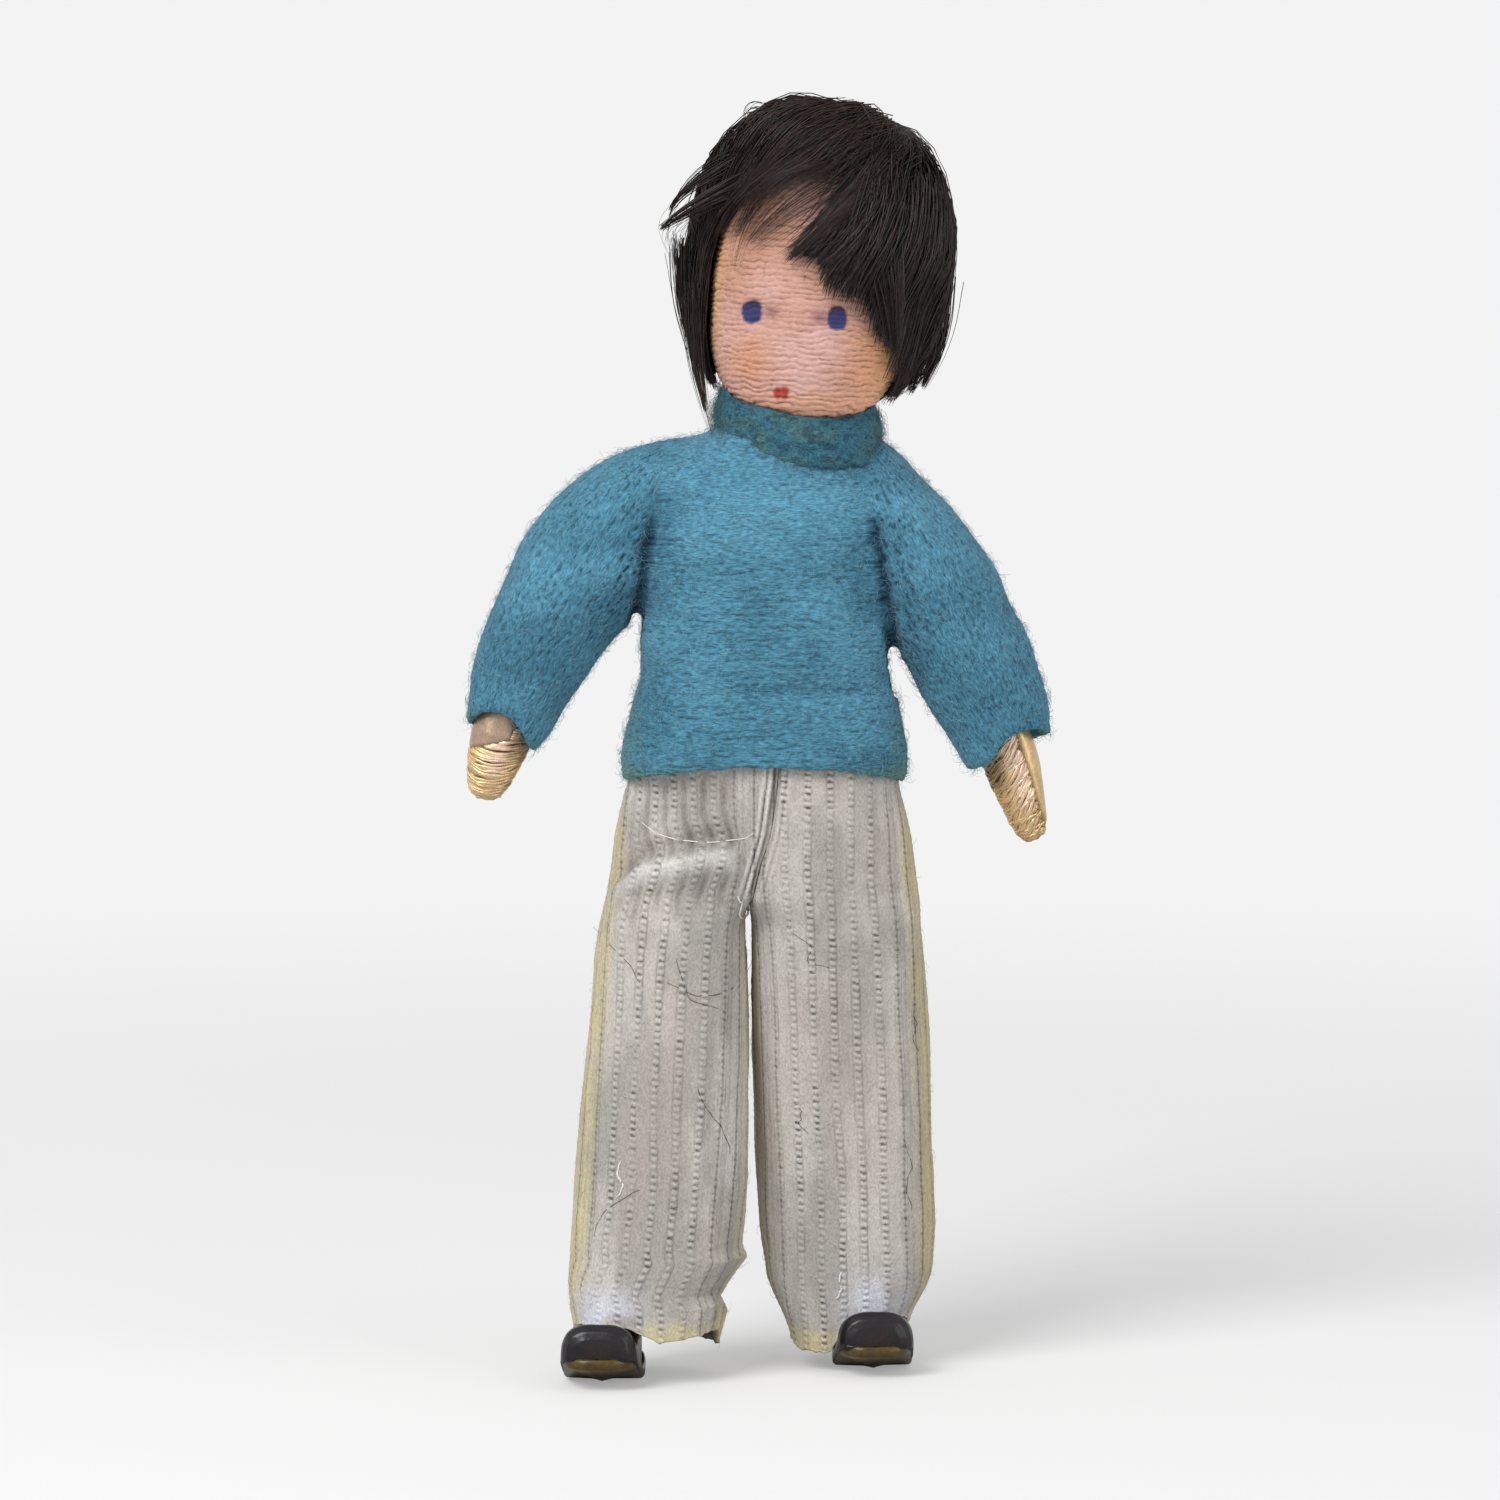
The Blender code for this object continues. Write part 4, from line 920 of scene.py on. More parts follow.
SEAT_SHARES = (
    (-0.40, 1.08, 0.94),
    (-0.10, 1.04, 0.96),
    (0.25, 0.99, 1.0),
    (0.60, 0.905, 1.0),
    (0.97, 0.835, 0.94),
)
SEAT_HALF = (13.9, 6.7)
LEG_TOP = 47.0
LEG_LENGTH = 40.7
LEG_HALF_DEPTH = 6.2
GROIN = np.array((-1.3, 0.0, 43.3))
LEG_EDGES = {
    "right": (
        (2.0, -3.8, -17.2),
        (5.0, -3.2, -17.7),
        (6.6, -3.9, -17.8),
        (8.2, -3.1, -17.9),
        (11.0, -1.5, -17.75),
        (12.4, -1.9, -17.7),
        (18.2, -1.4, -17.35),
        (29.4, -1.3, -16.4),
        (38.7, -1.45, -15.5),
        (43.3, -1.5, -14.8),
        (47.0, -1.4, -14.2),
    ),
    "left": (
        (2.0, 2.6, 13.8),
        (3.8, 2.1, 14.4),
        (6.0, 1.1, 15.4),
        (8.0, 0.5, 15.9),
        (13.6, -0.2, 16.2),
        (18.2, -0.45, 16.1),
        (30.3, -0.85, 15.66),
        (38.7, -1.0, 15.2),
        (43.3, -1.1, 14.8),
        (47.0, -1.2, 14.3),
    ),
}
LEG_DEPTHS = (
    (-0.20, 1.04, 3.2),
    (0.07, 1.02, 3.0),
    (0.20, 0.98, 2.6),
    (0.34, 0.95, 2.4),
    (0.75, 0.93, 2.3),
    (0.92, 1.00, 2.3),
    (1.10, 1.02, 2.3),
)
MIDDLE_SEAM = ((43.3, -1.30), (46.1, -0.61), (50.8, 0.70), (55.6, 1.35), (61.0, 1.60))
HEM_FRONT = {
    "right": ((-17.9, 5.2), (-16, 5.4), (-13, 5.6), (-11, 5.0), (-9.3, 4.1), (-6, 4.5), (-3.6, 5.0)),
    "left": ((1.8, 2.5), (3, 1.9), (6.3, 1.9), (7.6, 3.9), (9, 5.3), (12, 5.4), (14.2, 4.7), (15.6, 3.7)),
}
THIGH_FOLD = ((-15.0, 43.6), (-14.1, 44.7), (-10.8, 47.6), (-5.7, 48.9), (-3.5, 49.2), (-1.0, 48.2))
HEM_TAN = {"right": 6.4, "left": 4.6}
FROST_PLACE = {"right": -14.6, "left": 10.6}
FROST = paint(226, 229, 242)
# Rows of the grid that are repeated inside the hem, from the top down, and how far inside
HEM_INSIDE = ((46, 0.95), (22, 0.85), (5, 0.75), (0, 0.38))
RIB_PITCH = 2.0
BEAD_PITCH = 0.64
RIB_START = {"right": -0.75, "left": -0.45}
COLUMNS = 350
TOP_Z = 60.5
LOW_Z = 1.5
PALE = paint(196, 191, 184)
GREY = paint(156, 152, 147)
ROSY = paint(190, 171, 163)
TAN = paint(206, 194, 150)
WHITE = paint(240, 238, 235)
SHADE = paint(78, 70, 62)
SHADED_UNDERSIDE = paint(148, 136, 108)
THREAD_HAIR = paint(84, 70, 56)


def leg_outline(side, z, angles):
    """The outline of one trouser leg at a height, and its centre."""
    sign = SIDES[side]
    share = (LEG_TOP - z) / LEG_LENGTH
    inner, outer = rows_at(LEG_EDGES[side], z)
    deep, squareness = rows_at(LEG_DEPTHS, share)
    seam = rows_at(MIDDLE_SEAM, z)[0]
    upper = float(smooth((z - 41.8) / 3.6))
    centre = np.array(((inner + outer) / 2, mix(0, sign * 3.5, max(share, 0))))
    half = abs(outer - inner) / 2
    cosine, sine = np.cos(angles), np.sin(angles)
    radius = superellipse_radius(cosine, sine, half, deep * LEG_HALF_DEPTH, squareness)
    if upper > 0:
        width, depth = rows_at(SEAT_SHARES, (z - LEG_TOP) / 13.0)
        low = np.zeros_like(angles)
        high = np.full_like(angles, 30.0)
        for _ in range(26):
            middle = (low + high) / 2
            x = np.abs((centre[0] - 0.2 + middle * cosine) / (width * SEAT_HALF[0])) ** 2.5
            outside = x + np.abs((centre[1] + middle * sine) / (depth * SEAT_HALF[1])) ** 2.5 > 1
            high = np.where(outside, middle, high)
            low = np.where(outside, low, middle)
        towards = cosine * -sign
        plane = (sign * (centre[0] - seam) + 0.12) / np.maximum(towards, 0.01)
        soft = 0.45
        seat = -soft * np.log(np.exp(-low / soft) + np.exp(-np.minimum(plane, 60) / soft))
        radius = mix(radius, seat, upper)
    return centre, radius


def leg_grid(side):
    """Points of one leg row by row from the hem up, with the distance round the leg from its front."""
    dense = np.linspace(0, 2 * math.pi, 1441) - math.pi / 2
    fractions = np.linspace(-0.5, 0.5, COLUMNS, endpoint=False)
    heights = np.arange(LOW_Z, TOP_Z, 0.14)
    points = np.zeros((len(heights), COLUMNS, 3))
    around = np.zeros((len(heights), COLUMNS))
    for row, z in enumerate(heights):
        centre, radius = leg_outline(side, z, dense)
        x = centre[0] + radius * np.cos(dense)
        y = centre[1] + radius * np.sin(dense)
        length = length_along(x, y)
        at = (fractions % 1.0) * length[-1]
        points[row, :, 0] = np.interp(at, length, x)
        points[row, :, 1] = np.interp(at, length, y)
        points[row, :, 2] = z
        around[row] = fractions * length[-1]
    foot = points[18]
    front = smooth((np.mean(foot[:, 1]) - foot[:, 1]) / 4.0 + 0.3)
    ragged = 0.14 * noise_at(around[18], around[18] * 0, (0.5, 1.0), 71)
    hem = mix(3.0, rows_at(HEM_FRONT[side], foot[:, 0])[0], front) + ragged
    share = np.clip((points[:, :, 2] - LOW_Z) / (12.0 - LOW_Z), 0, 1)
    points[:, :, 2] = np.where(share < 1, mix(hem[None], 12.0, share), points[:, :, 2])
    return points, around


def dress_trousers(side, points, normals, around):
    """Folds, ribs, beads and paint of one leg."""
    x, y, z = points.T
    sign = SIDES[side]
    u = around.ravel() - RIB_START[side]
    seam_x = rows_at(MIDDLE_SEAM, z)[0]
    lumps = noise(points, (3.2, 3.2, 11.0), 81 + sign)
    small = noise(points, (1.3, 1.3, 3.0), 83 + sign)
    felt = noise(points, (0.5, 0.5, 0.5), 85)
    fine = noise(points, (0.2, 0.2, 0.2), 86)
    front = smooth(-normals[:, 1] * 2.0)
    u = u + 0.22 * noise_at(u, z, (5.0, 9.0), 87)
    fold = np.zeros(len(points))
    shadow = np.zeros(len(points))
    fold_highlight = np.zeros(len(points))
    pleats = np.zeros(len(points))
    if side == "right":
        ridge = rows_at(THIGH_FOLD, x)[0]
        above = z - ridge
        reach = smooth((x + 15.6) / 5.0) * smooth((-1.2 - x) / 2.0) * front
        fold = (1.25 * np.exp(-(np.minimum(above, 0) / 2.4) ** 2) * (above <= 0)) * reach
        fold += 1.25 * np.exp(-(above / 0.9) ** 2) * (above > 0) * reach
        fold -= 0.75 * smooth(above / 1.6) * smooth((57.5 - z) / 3.0) * reach
        shadow = bump(above, 1.7, 1.9) * reach
        # Painted highlight on the fold's bulge.
        fold_highlight = bump(above, -0.4, 1.6) * reach
        pleats = (smooth(above / 1.2) * smooth((57.0 - z) / 2.0) + bump(above, -3.2, 3.0)) * reach
        lean = bump(above, 0.2, 4.0) * reach
        u = u - 1.1 * lean
    rib = np.round(u / RIB_PITCH)
    v = u - rib * RIB_PITCH
    numbers = rib.astype(np.int64)
    phase = lattice(numbers, np.full(len(rib), 3), np.full(len(rib), 7), 88) * 3
    drift = 1.6 * noise_at(rib * 5.0, z, (1.0, 2.2), 89)
    wave = 0.5 + 0.5 * np.cos(2 * math.pi * (z / BEAD_PITCH) + phase + drift + 2.2 * v)
    strength = 0.55 + 0.55 * smooth(0.5 + 0.9 * noise_at(rib * 3.3, z, (1.0, 5.0), 90))
    aside = smooth((np.abs(u) - 4.9) / 1.6)
    strength = strength * (1 - 0.72 * aside)
    line = smooth((0.33 - np.abs(v)) / 0.14)
    bead = np.floor(z / BEAD_PITCH).astype(np.int64)
    missing = 0.5 + 0.5 * smooth(0.5 + 2.0 * lattice(bead, numbers, np.full(len(rib), 5), 99))
    beads = line * wave * strength
    gaps = line * smooth((0.46 - wave) / 0.34) * strength * missing
    groove = bump(v, 0.34, 0.13) * 0.7 + bump(v, -0.38, 0.13) * 0.55
    crackle = smooth(1 - np.abs(noise(points, (0.8, 0.8, 1.5), 67) + 0.2 * fine) / 0.07)
    groove = groove * (0.7 + 0.7 * noise_at(rib * 7.1, z, (1.0, 3.0), 91))
    pleated = bump(np.abs(v), 1.0, 0.55) * pleats
    scribble = noise(points, (2.6, 2.6, 5.0), 96) + 0.25 * noise(points, (0.7, 0.7, 0.9), 97)
    stray = smooth(1 - np.abs(scribble - 0.30) / 0.022) * smooth(noise(points, (4.0, 4.0, 4.0), 98) * 3)
    edge_line = bump(v, 0.0, 0.22) * aside
    pleat = bump(v, 1.0, 0.5) * aside * 0.5
    near_seam = np.abs(x - seam_x) - 0.25
    fly = smooth((z - 44.5) / 1.5)
    piping = (bump(near_seam, 0.35, 0.28) + bump(near_seam, 0.95, 0.28)) * fly * front
    piping_gap = (bump(near_seam, 0.65, 0.14) + bump(near_seam, 0.0, 0.3)) * fly * front
    if side == "left":
        piping = piping * 0.25
        piping_gap = piping_gap * 0.5
    height = 0.22 * lumps + 0.07 * small + 0.02 * felt + 0.012 * fine + fold
    height += 0.085 * beads - 0.07 * gaps - 0.05 * np.clip(groove, 0, 1) - 0.12 * edge_line - 0.10 * pleat
    height += 0.16 * piping - 0.14 * piping_gap + 0.05 * np.cos(math.pi * v)
    height -= 0.22 * pleated
    height -= 0.03 * crackle
    rosy = smooth(0.15 + noise(points, (4.0, 4.0, 7.0), 92))
    grey = smooth(0.45 + noise(points, (3.0, 3.0, 12.0), 93) + 0.35 * noise(points, (1.0, 1.0, 2.2), 95))
    inner, outer = rows_at(LEG_EDGES[side], z)
    middle = (inner + outer) / 2
    off = np.abs(x - middle) / (np.abs(outer - inner) / 2)
    outer_side = smooth((off - 0.72) / 0.20) * (sign * (x - middle) > 0)
    inner_side = smooth((off - 0.86) / 0.12) * (sign * (x - middle) < 0) * smooth((44 - z) / 3)
    # Tan toward the legs' outer and inner sides: a painted reflection of a yellowish surround.
    tan_side_reflection = np.clip(outer_side * (0.9 + 0.5 * small), 0, 1)
    hem_tan = smooth((HEM_TAN[side] - z + 0.8 * small) / 1.6)
    above_shoe = bump(x, FROST_PLACE[side], 5.2) * smooth((10.6 - z) / 4.5)
    white_patch = above_shoe * front * smooth(0.85 + 0.8 * noise(points, (2.0, 2.0, 2.0), 94))
    colour = over(PALE, GREY, 0.75 * grey)
    colour = over(colour, ROSY, 0.30 * rosy)
    colour = over(colour, TAN, 0.80 * tan_side_reflection + 0.35 * inner_side + 0.75 * hem_tan)
    # WHITE on the beads, the fly's raised cords and the fold's bulge is painted highlight.
    colour = over(colour, WHITE, 0.24 * beads + 0.45 * piping + 0.45 * fold_highlight)
    colour = over(colour, FROST, 0.95 * white_patch)
    # Painted shade in the gaps between beads, in the grooves beside the ribs, along the edge lines and
    # pleats at the sides, between the fly's cords, in the fold's shadow and its pleats; crackle, stray lines
    # and the fine and felt grain darken at random.
    dark = 0.84 * gaps + 0.52 * np.clip(groove, 0, 1) + 0.13 * crackle
    dark = dark + 0.62 * edge_line + 0.34 * pleat + 0.60 * piping_gap
    dark = dark + 0.30 * shadow + 0.10 * fine + 0.08 * felt + 0.34 * pleated + 0.30 * stray - 0.03
    dark = dark * (1 - 0.8 * white_patch)
    colour = over(colour, SHADE, dark, 0.9)
    return points + normals * height[:, None], colour


# The piece that each thread lies on, its colour, its radius and its places as (x, z)
LOOSE_THREADS = {
    "right": (
        (3, WHITE, 0.085, ((-13.0, 20.8), (-13.5, 19.6), (-12.8, 18.5), (-13.4, 17.4))),
        (2, THREAD_HAIR, 0.03, ((-15.8, 41.7), (-13.9, 40.4), (-12.1, 38.7), (-11.3, 37.2))),
        (2, THREAD_HAIR, 0.03, ((-8.7, 37.2), (-5.7, 35.8), (-2.9, 36.3), (-0.9, 38.4))),
        (2, THREAD_HAIR, 0.028, ((-8.0, 39.5), (-6.7, 35.6), (-3.9, 34.7))),
        (3, THREAD_HAIR, 0.032, ((-5.9, 27.5), (-5.2, 25.5), (-3.7, 23.8), (-2.9, 21.1))),
        (3, THREAD_HAIR, 0.03, ((-15.6, 13.7), (-14.7, 16.0), (-12.4, 17.6), (-11.3, 18.2))),
        (0, WHITE, 0.06, (
            (-11.7, 52.2), (-10.0, 50.9), (-8.1, 50.3), (-4.5, 50.1), (-2.2, 50.5), (-0.7, 51.0),
        )),
        (0, WHITE, 0.12, (
            (-2.2, 45.2), (-1.6, 44.2), (-1.1, 43.3), (-1.6, 42.6), (-2.2, 43.3), (-1.7, 44.4),
        )),
    ),
    "left": (
        (3, WHITE, 0.1, ((7.4, 9.7), (7.1, 8.8), (7.4, 8.0), (6.9, 7.1))),
        (2, THREAD_HAIR, 0.03, ((14.0, 34.0), (14.5, 32.6), (13.9, 31.6), (14.6, 30.3))),
        (3, THREAD_HAIR, 0.028, ((3.0, 25.7), (3.8, 24.6), (3.4, 23.5), (4.3, 22.7))),
        (2, THREAD_HAIR, 0.026, ((2.6, 41.8), (4.7, 40.4), (4.1, 38.9), (6.4, 38.4))),
        (3, THREAD_HAIR, 0.03, ((13.3, 22.0), (13.9, 19.7), (13.4, 17.4), (14.0, 15.1))),
    ),
}


def loose_thread(points, normals, knots, radius, seed):
    """A thin thread lying on the front of the cloth, through the places given as (x, z)."""
    rng = np.random.default_rng(seed)
    share = np.linspace(0, 1, 28)
    knots = np.array(knots)
    at = np.linspace(0, 1, len(knots))
    line = np.stack([np.interp(share, at, knots[:, 0]), np.interp(share, at, knots[:, 1])], axis=1)
    waver = np.interp(share, np.linspace(0, 1, 9), rng.normal(0, 0.10, 9))
    line = softened(line, 3) + waver[:, None] * (1, -0.6)
    front = np.flatnonzero(normals[:, 1] < -0.1)
    flat = points[front][:, (0, 2)]
    nearest = front[[np.argmin(np.sum((flat - spot) ** 2, axis=1)) for spot in line]]
    path = np.stack([line[:, 0], points[nearest, 1], line[:, 1]], axis=1)
    path[:, 1] -= radius * 0.8
    for _ in range(2):
        path[1:-1, 1] = (path[:-2, 1] + path[1:-1, 1] + path[2:, 1]) / 3
    sizes = radius * (1 - 0.5 * np.abs(2 * share - 1) ** 3)
    return tubes(path[None], sizes[None], 4)


def make_leg(side):
    """One trouser leg with its half of the seat, in four pieces that are parted where it bends."""
    grid, around = leg_grid(side)
    points = grid.reshape(-1, 3)
    centre = np.array((*leg_outline(side, 25.0, np.zeros(1))[0], 25.0))
    faces, normals = facing_out(points, grid_faces(len(grid), COLUMNS), centre)
    points, colour = dress_trousers(side, points, normals, around)
    inner = []
    for row, inset in HEM_INSIDE:
        level = slice(row * COLUMNS, (row + 1) * COLUMNS)
        inner.append(points[level] - normals[level] * (1, 1, 0) * inset)
    points = np.concatenate(inner + [points])
    # The rows inside the hem are painted darker and browner, painted shade.
    colour = np.concatenate((np.tile(SHADED_UNDERSIDE, (len(inner) * COLUMNS, 1)), colour))
    faces, normals = facing_out(points, grid_faces(len(inner) + len(grid), COLUMNS), centre)
    centres = points[faces].mean(axis=1)
    sign = SIDES[side]
    down = unit((sign * 0.53, 0, -0.85))
    past = (centres - GROIN) @ down
    # 0 is the seat, 1 the hip, 2 the thigh and 3 the leg from the knee down
    label = np.where(past < 0, 0, np.where(past < 4, 1, np.where(centres[:, 2] > 30, 2, 3)))
    for number, (region, tint, radius, knots) in enumerate(LOOSE_THREADS[side]):
        thread = loose_thread(points, normals, knots, radius, 700 + number)
        label = np.concatenate((label, np.full(len(thread[1]), region)))
        normals = np.concatenate((normals, vertex_normals(*thread)))
        tint = np.tile(tint, (len(thread[0]), 1))
        points, faces, colour = joined([(points, faces, colour), (*thread, tint)])
    coat = {"share": 0.006, "length": (0.4, 1.3), "colour": WHITE}
    pieces = []
    for number, part in enumerate(("seat", "hip", "leg", "knee")):
        dress = dict(coat, seed=200 + number + 10 * sign)
        name = f"trouser_{part}_{side}"
        piece = fuzzy_piece(name, points, faces, label == number, KNIT, colour, normals, dress)
        pieces.append(piece)
    seat, hip, thigh, shin = pieces
    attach(seat, "pelvis")
    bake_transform(hip)
    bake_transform(thigh)
    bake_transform(shin)
    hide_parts("trouser_seat", "pelvis_wadding")
    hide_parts(f"hip_fold_{side}")
    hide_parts(f"trouser_thigh_{side}", f"thigh_wadding_{side}")
    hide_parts(f"trouser_shin_{side}", f"shin_wadding_{side}", f"knee_fold_{side}")


make_leg("right")
make_leg("left")


# Head

RIDGE_PITCH = 0.54
EYES = ((-0.95, 98.95), (6.85, 98.40))
MOUTH = (1.75, 91.45)
SKIN_LIGHT = paint(210, 168, 160)
SKIN_MID = paint(194, 146, 124)
SKIN_CHEEK = paint(208, 144, 112)
SKIN_RIGHT_FILL = paint(232, 172, 132)
SKIN_SIDE_REFLECTION = paint(236, 182, 114)
SKIN_CHIN = paint(244, 182, 148)
RIDGE_LINE = paint(98, 56, 38)
EYE_BLUE = paint(36, 48, 100)
EYE_DARK = paint(24, 24, 44)
SMUDGE = paint(140, 96, 92)
MOUTH_RED = paint(168, 34, 32)


def soft_box(x, z, half_width, half_height, edge):
    """1 inside a rounded box, falling to 0 over its edge."""
    distance = (np.abs(x / half_width) ** 3 + np.abs(z / half_height) ** 3) ** (1 / 3)
    return smooth((1 + edge - distance) / (2 * edge))


def turned_profile(out, up, count, sizes=(1, 1, 1)):
    """Points of a profile turned about Z, row by row."""
    _, cosine, sine = circle(count)
    high = np.repeat(up[:, None], count, axis=1)
    points = np.stack([out[:, None] * cosine, out[:, None] * sine, high], axis=2)
    return points.reshape(-1, 3) * sizes


def make_head():
    """The crepe head, with its cross ridges and its painted face."""
    radius, half_height, squareness = SKIN
    dense = np.linspace(-math.pi / 2 + 0.004, math.pi / 2 - 0.004, 4000)
    out = radius * np.abs(np.cos(dense)) ** (2 / squareness)
    up = half_height * power(np.sin(dense), 2 / squareness)
    length = length_along(out, up)
    at = np.linspace(0, length[-1], 330)
    out = np.interp(at, length, out)
    up = np.interp(at, length, up)
    count = 300
    local = turned_profile(out, up, count)
    faces, _ = facing_out(local, grid_faces(len(at), count), 0)
    for _ in range(3):
        local = local / skin_size(local)[:, None]
    normals = vertex_normals(local, faces)
    x, y, z = local.T
    world = from_head(local)
    across = np.arctan2(x, -y) * 9.0
    level = z - 0.052 * x
    waver = 0.26 * noise_at(across, level, (1.7, 1.2), 301)
    level = level + waver + 0.12 * noise_at(across, level, (0.55, 0.5), 302)
    ridge = np.floor(level / RIDGE_PITCH)
    part = level / RIDGE_PITCH - ridge
    strength = smooth(0.50 + 1.1 * noise_at(across, ridge * 2.3, (1.2, 1.0), 303))
    groove = smooth(1 - np.abs(part - 0.5) / 0.24)
    line = smooth(1 - np.abs(part - 0.5) / (0.10 + 0.07 * strength)) * (0.35 + 0.65 * strength)
    column = across / 1.7 + 0.5 * noise_at(across, level, (1.3, 0.8), 308)
    crack = smooth(1 - np.abs(column - np.round(column)) / 0.035)
    crack = crack * smooth(noise_at(np.round(column) * 3.1, level, (1.0, 0.9), 309) * 4 - 0.8)
    ripple = 0.5 - 0.5 * np.cos(2 * math.pi * part)
    soft = noise(local, (3.2, 3.2, 3.2), 304)
    tiny = noise(local, (0.35, 0.35, 0.25), 305)
    height = -0.10 * ripple * (0.5 + 0.7 * strength) + 0.12 * soft + 0.03 * tiny
    height -= 0.04 * groove
    height -= 0.04 * crack
    wx, wz = world[:, 0], world[:, 2]
    front = y < 0
    side = smooth((np.abs(x) / 9.5 - 0.70) / 0.30)
    cheek = np.exp(-((wx + 1.5) / 2.8) ** 2 - ((wz - 94.0) / 2.6) ** 2)
    cheek += np.exp(-((wx - 9.5) / 3.0) ** 2 - ((wz - 93.6) / 2.6) ** 2)
    chin = smooth((92.6 - wz) / 2.5)
    middle = np.exp(-((wx - 4.0) / 4.2) ** 2 - ((wz - 95.2) / 3.2) ** 2)
    forehead = smooth((wz - 99.5) / 4.0)
    # Lighter in the face's middle, a painted highlight, and darker toward the forehead under the fringe,
    # painted shade; soft adds random tone.
    colour = over(SKIN_LIGHT, SKIN_MID, 0.45 + 0.5 * soft + 0.35 * forehead - 0.5 * middle)
    colour = over(colour, SKIN_CHEEK, 0.65 * cheek)
    # Lighter on the lower right of the face: painted light where less light falls.
    colour = over(colour, SKIN_RIGHT_FILL, 0.8 * smooth((wx - 6.5) / 4.0) * smooth((99.0 - wz) / 3.0))
    # Golden toward the head's sides: a painted reflection of a yellowish surround.
    colour = over(colour, SKIN_SIDE_REFLECTION, 0.80 * side)
    # Lighter toward the chin: painted light that lifts the shade under it.
    colour = over(colour, SKIN_CHIN, 0.7 * chin)
    # Darker lines in the crepe's grooves and cracks, painted shade, weaker in the face's middle, with random
    # tone from tiny.
    groove_shade_and_tone = 0.72 * line * (1 - 0.45 * middle) + 0.35 * crack + 0.12 * tiny
    colour = over(colour, RIDGE_LINE, groove_shade_and_tone)
    wobble_x = 0.10 * noise(local, (0.5, 0.5, 0.5), 306)
    wobble_z = 0.10 * noise(local, (0.5, 0.5, 0.5), 307)
    for number, (eye_x, eye_z) in enumerate(EYES):
        dx, dz = wx - eye_x + wobble_x, wz - eye_z + wobble_z
        inner = 1.85 if number == 0 else -1.65
        smear = np.exp(-((dx - inner) / 0.75) ** 2 - (dz / 0.65) ** 2)
        smear += 0.55 * np.exp(-(dx / 1.7) ** 2 - ((dz - 0.35) / 1.15) ** 2)
        colour = over(colour, SMUDGE, 0.72 * smear * front)
        eye = soft_box(dx, dz, 0.92, 1.03, 0.14) * front
        lid = smooth((dz - 0.30) / 0.45)
        # line darkens the eye paint in the crepe's grooves too, painted shade.
        blue = over(EYE_BLUE, EYE_DARK, 0.80 * lid + 0.30 * line + 0.2 * tiny)
        colour = over(colour, blue, 0.96 * eye)
    for offset, width, tall in ((-0.36, 0.34, 0.52), (0.30, 0.38, 0.62)):
        dx, dz = wx - MOUTH[0] - offset + wobble_x, wz - MOUTH[1] + wobble_z
        stroke = soft_box(dx, dz, width, tall, 0.35) * front
        colour = over(colour, MOUTH_RED, 0.90 * stroke)
    local = local + normals * height[:, None]
    points = from_head(local)
    head = new_piece("head_crepe", points, faces, CREPE, colour, vertex_normals(points, faces))
    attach(head, "head")
    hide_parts("head_skin", "head_core")


# Hair

# Half sizes of the hair's outer surface and its middle in the head's frame
HAIR_EGG = np.array((12.7, 12.2, 15.0))
HAIR_CENTRE = np.array((0.0, 0.5, 3.1))
HAIR_SQUARENESS = 2.25
CROWN = np.array((6.0, 6.0, 15.6))
FACE_OUTLINE = np.array((
    (-4.9, 90.0), (-4.9, 99.0), (-4.6, 103.6), (-3.9, 107.6), (-2.6, 110.6), (-0.4, 112.2), (2.6, 112.4),
    (5.6, 112.0), (7.0, 110.8), (5.6, 108.6), (4.0, 106.2), (2.6, 104.2), (4.4, 103.2), (6.2, 101.6),
    (8.8, 100.0), (10.2, 98.8), (11.2, 97.0), (12.3, 95.2), (13.2, 97.2), (13.6, 99.4), (14.4, 99.3),
    (14.5, 95.6), (13.0, 93.6), (11.8, 91.4), (4.0, 86.0),
))
BROWN_BLACK = paint(20, 15, 14)
WARM_BROWN = paint(56, 36, 29)
GLINT_ASH = paint(126, 116, 112)


def inside_face(x, z):
    """How far inside the face's opening a place is, in millimetres; below 0 under the hair."""
    nearest = np.full(x.shape, 1e9)
    crossings = np.zeros(x.shape, dtype=int)
    for (ax, az), (bx, bz) in zip(FACE_OUTLINE, np.roll(FACE_OUTLINE, -1, axis=0)):
        share = ((x - ax) * (bx - ax) + (z - az) * (bz - az)) / ((bx - ax) ** 2 + (bz - az) ** 2)
        share = np.clip(share, 0, 1)
        nearest = np.minimum(nearest, np.hypot(x - ax - share * (bx - ax), z - az - share * (bz - az)))
        if az != bz:
            at = ax + (z - az) / (bz - az) * (bx - ax)
            crossings += ((az > z) != (bz > z)) & (x < at)
    return np.where(crossings % 2 == 1, nearest, -nearest)


def on_hair(points, layer):
    """The points moved out or in to a layer of the hair, closer to the skin near the face."""
    relative = (points - HAIR_CENTRE) / HAIR_EGG
    flat = np.hypot(relative[..., 0], relative[..., 1])
    size = (flat ** HAIR_SQUARENESS + np.abs(relative[..., 2]) ** HAIR_SQUARENESS) ** (1 / HAIR_SQUARENESS)
    outer = HAIR_CENTRE + (points - HAIR_CENTRE) / size[..., None] * layer
    low = points / skin_size(points)[..., None] * (1 + 0.06 + 0.5 * (layer - 0.88))
    world = from_head(points.reshape(-1, 3)).reshape(points.shape)
    near = smooth(1 + inside_face(world[..., 0], world[..., 2]) / 5.0) * (points[..., 1] < 0)
    return mix(outer, low, 0.9 * near[..., None])


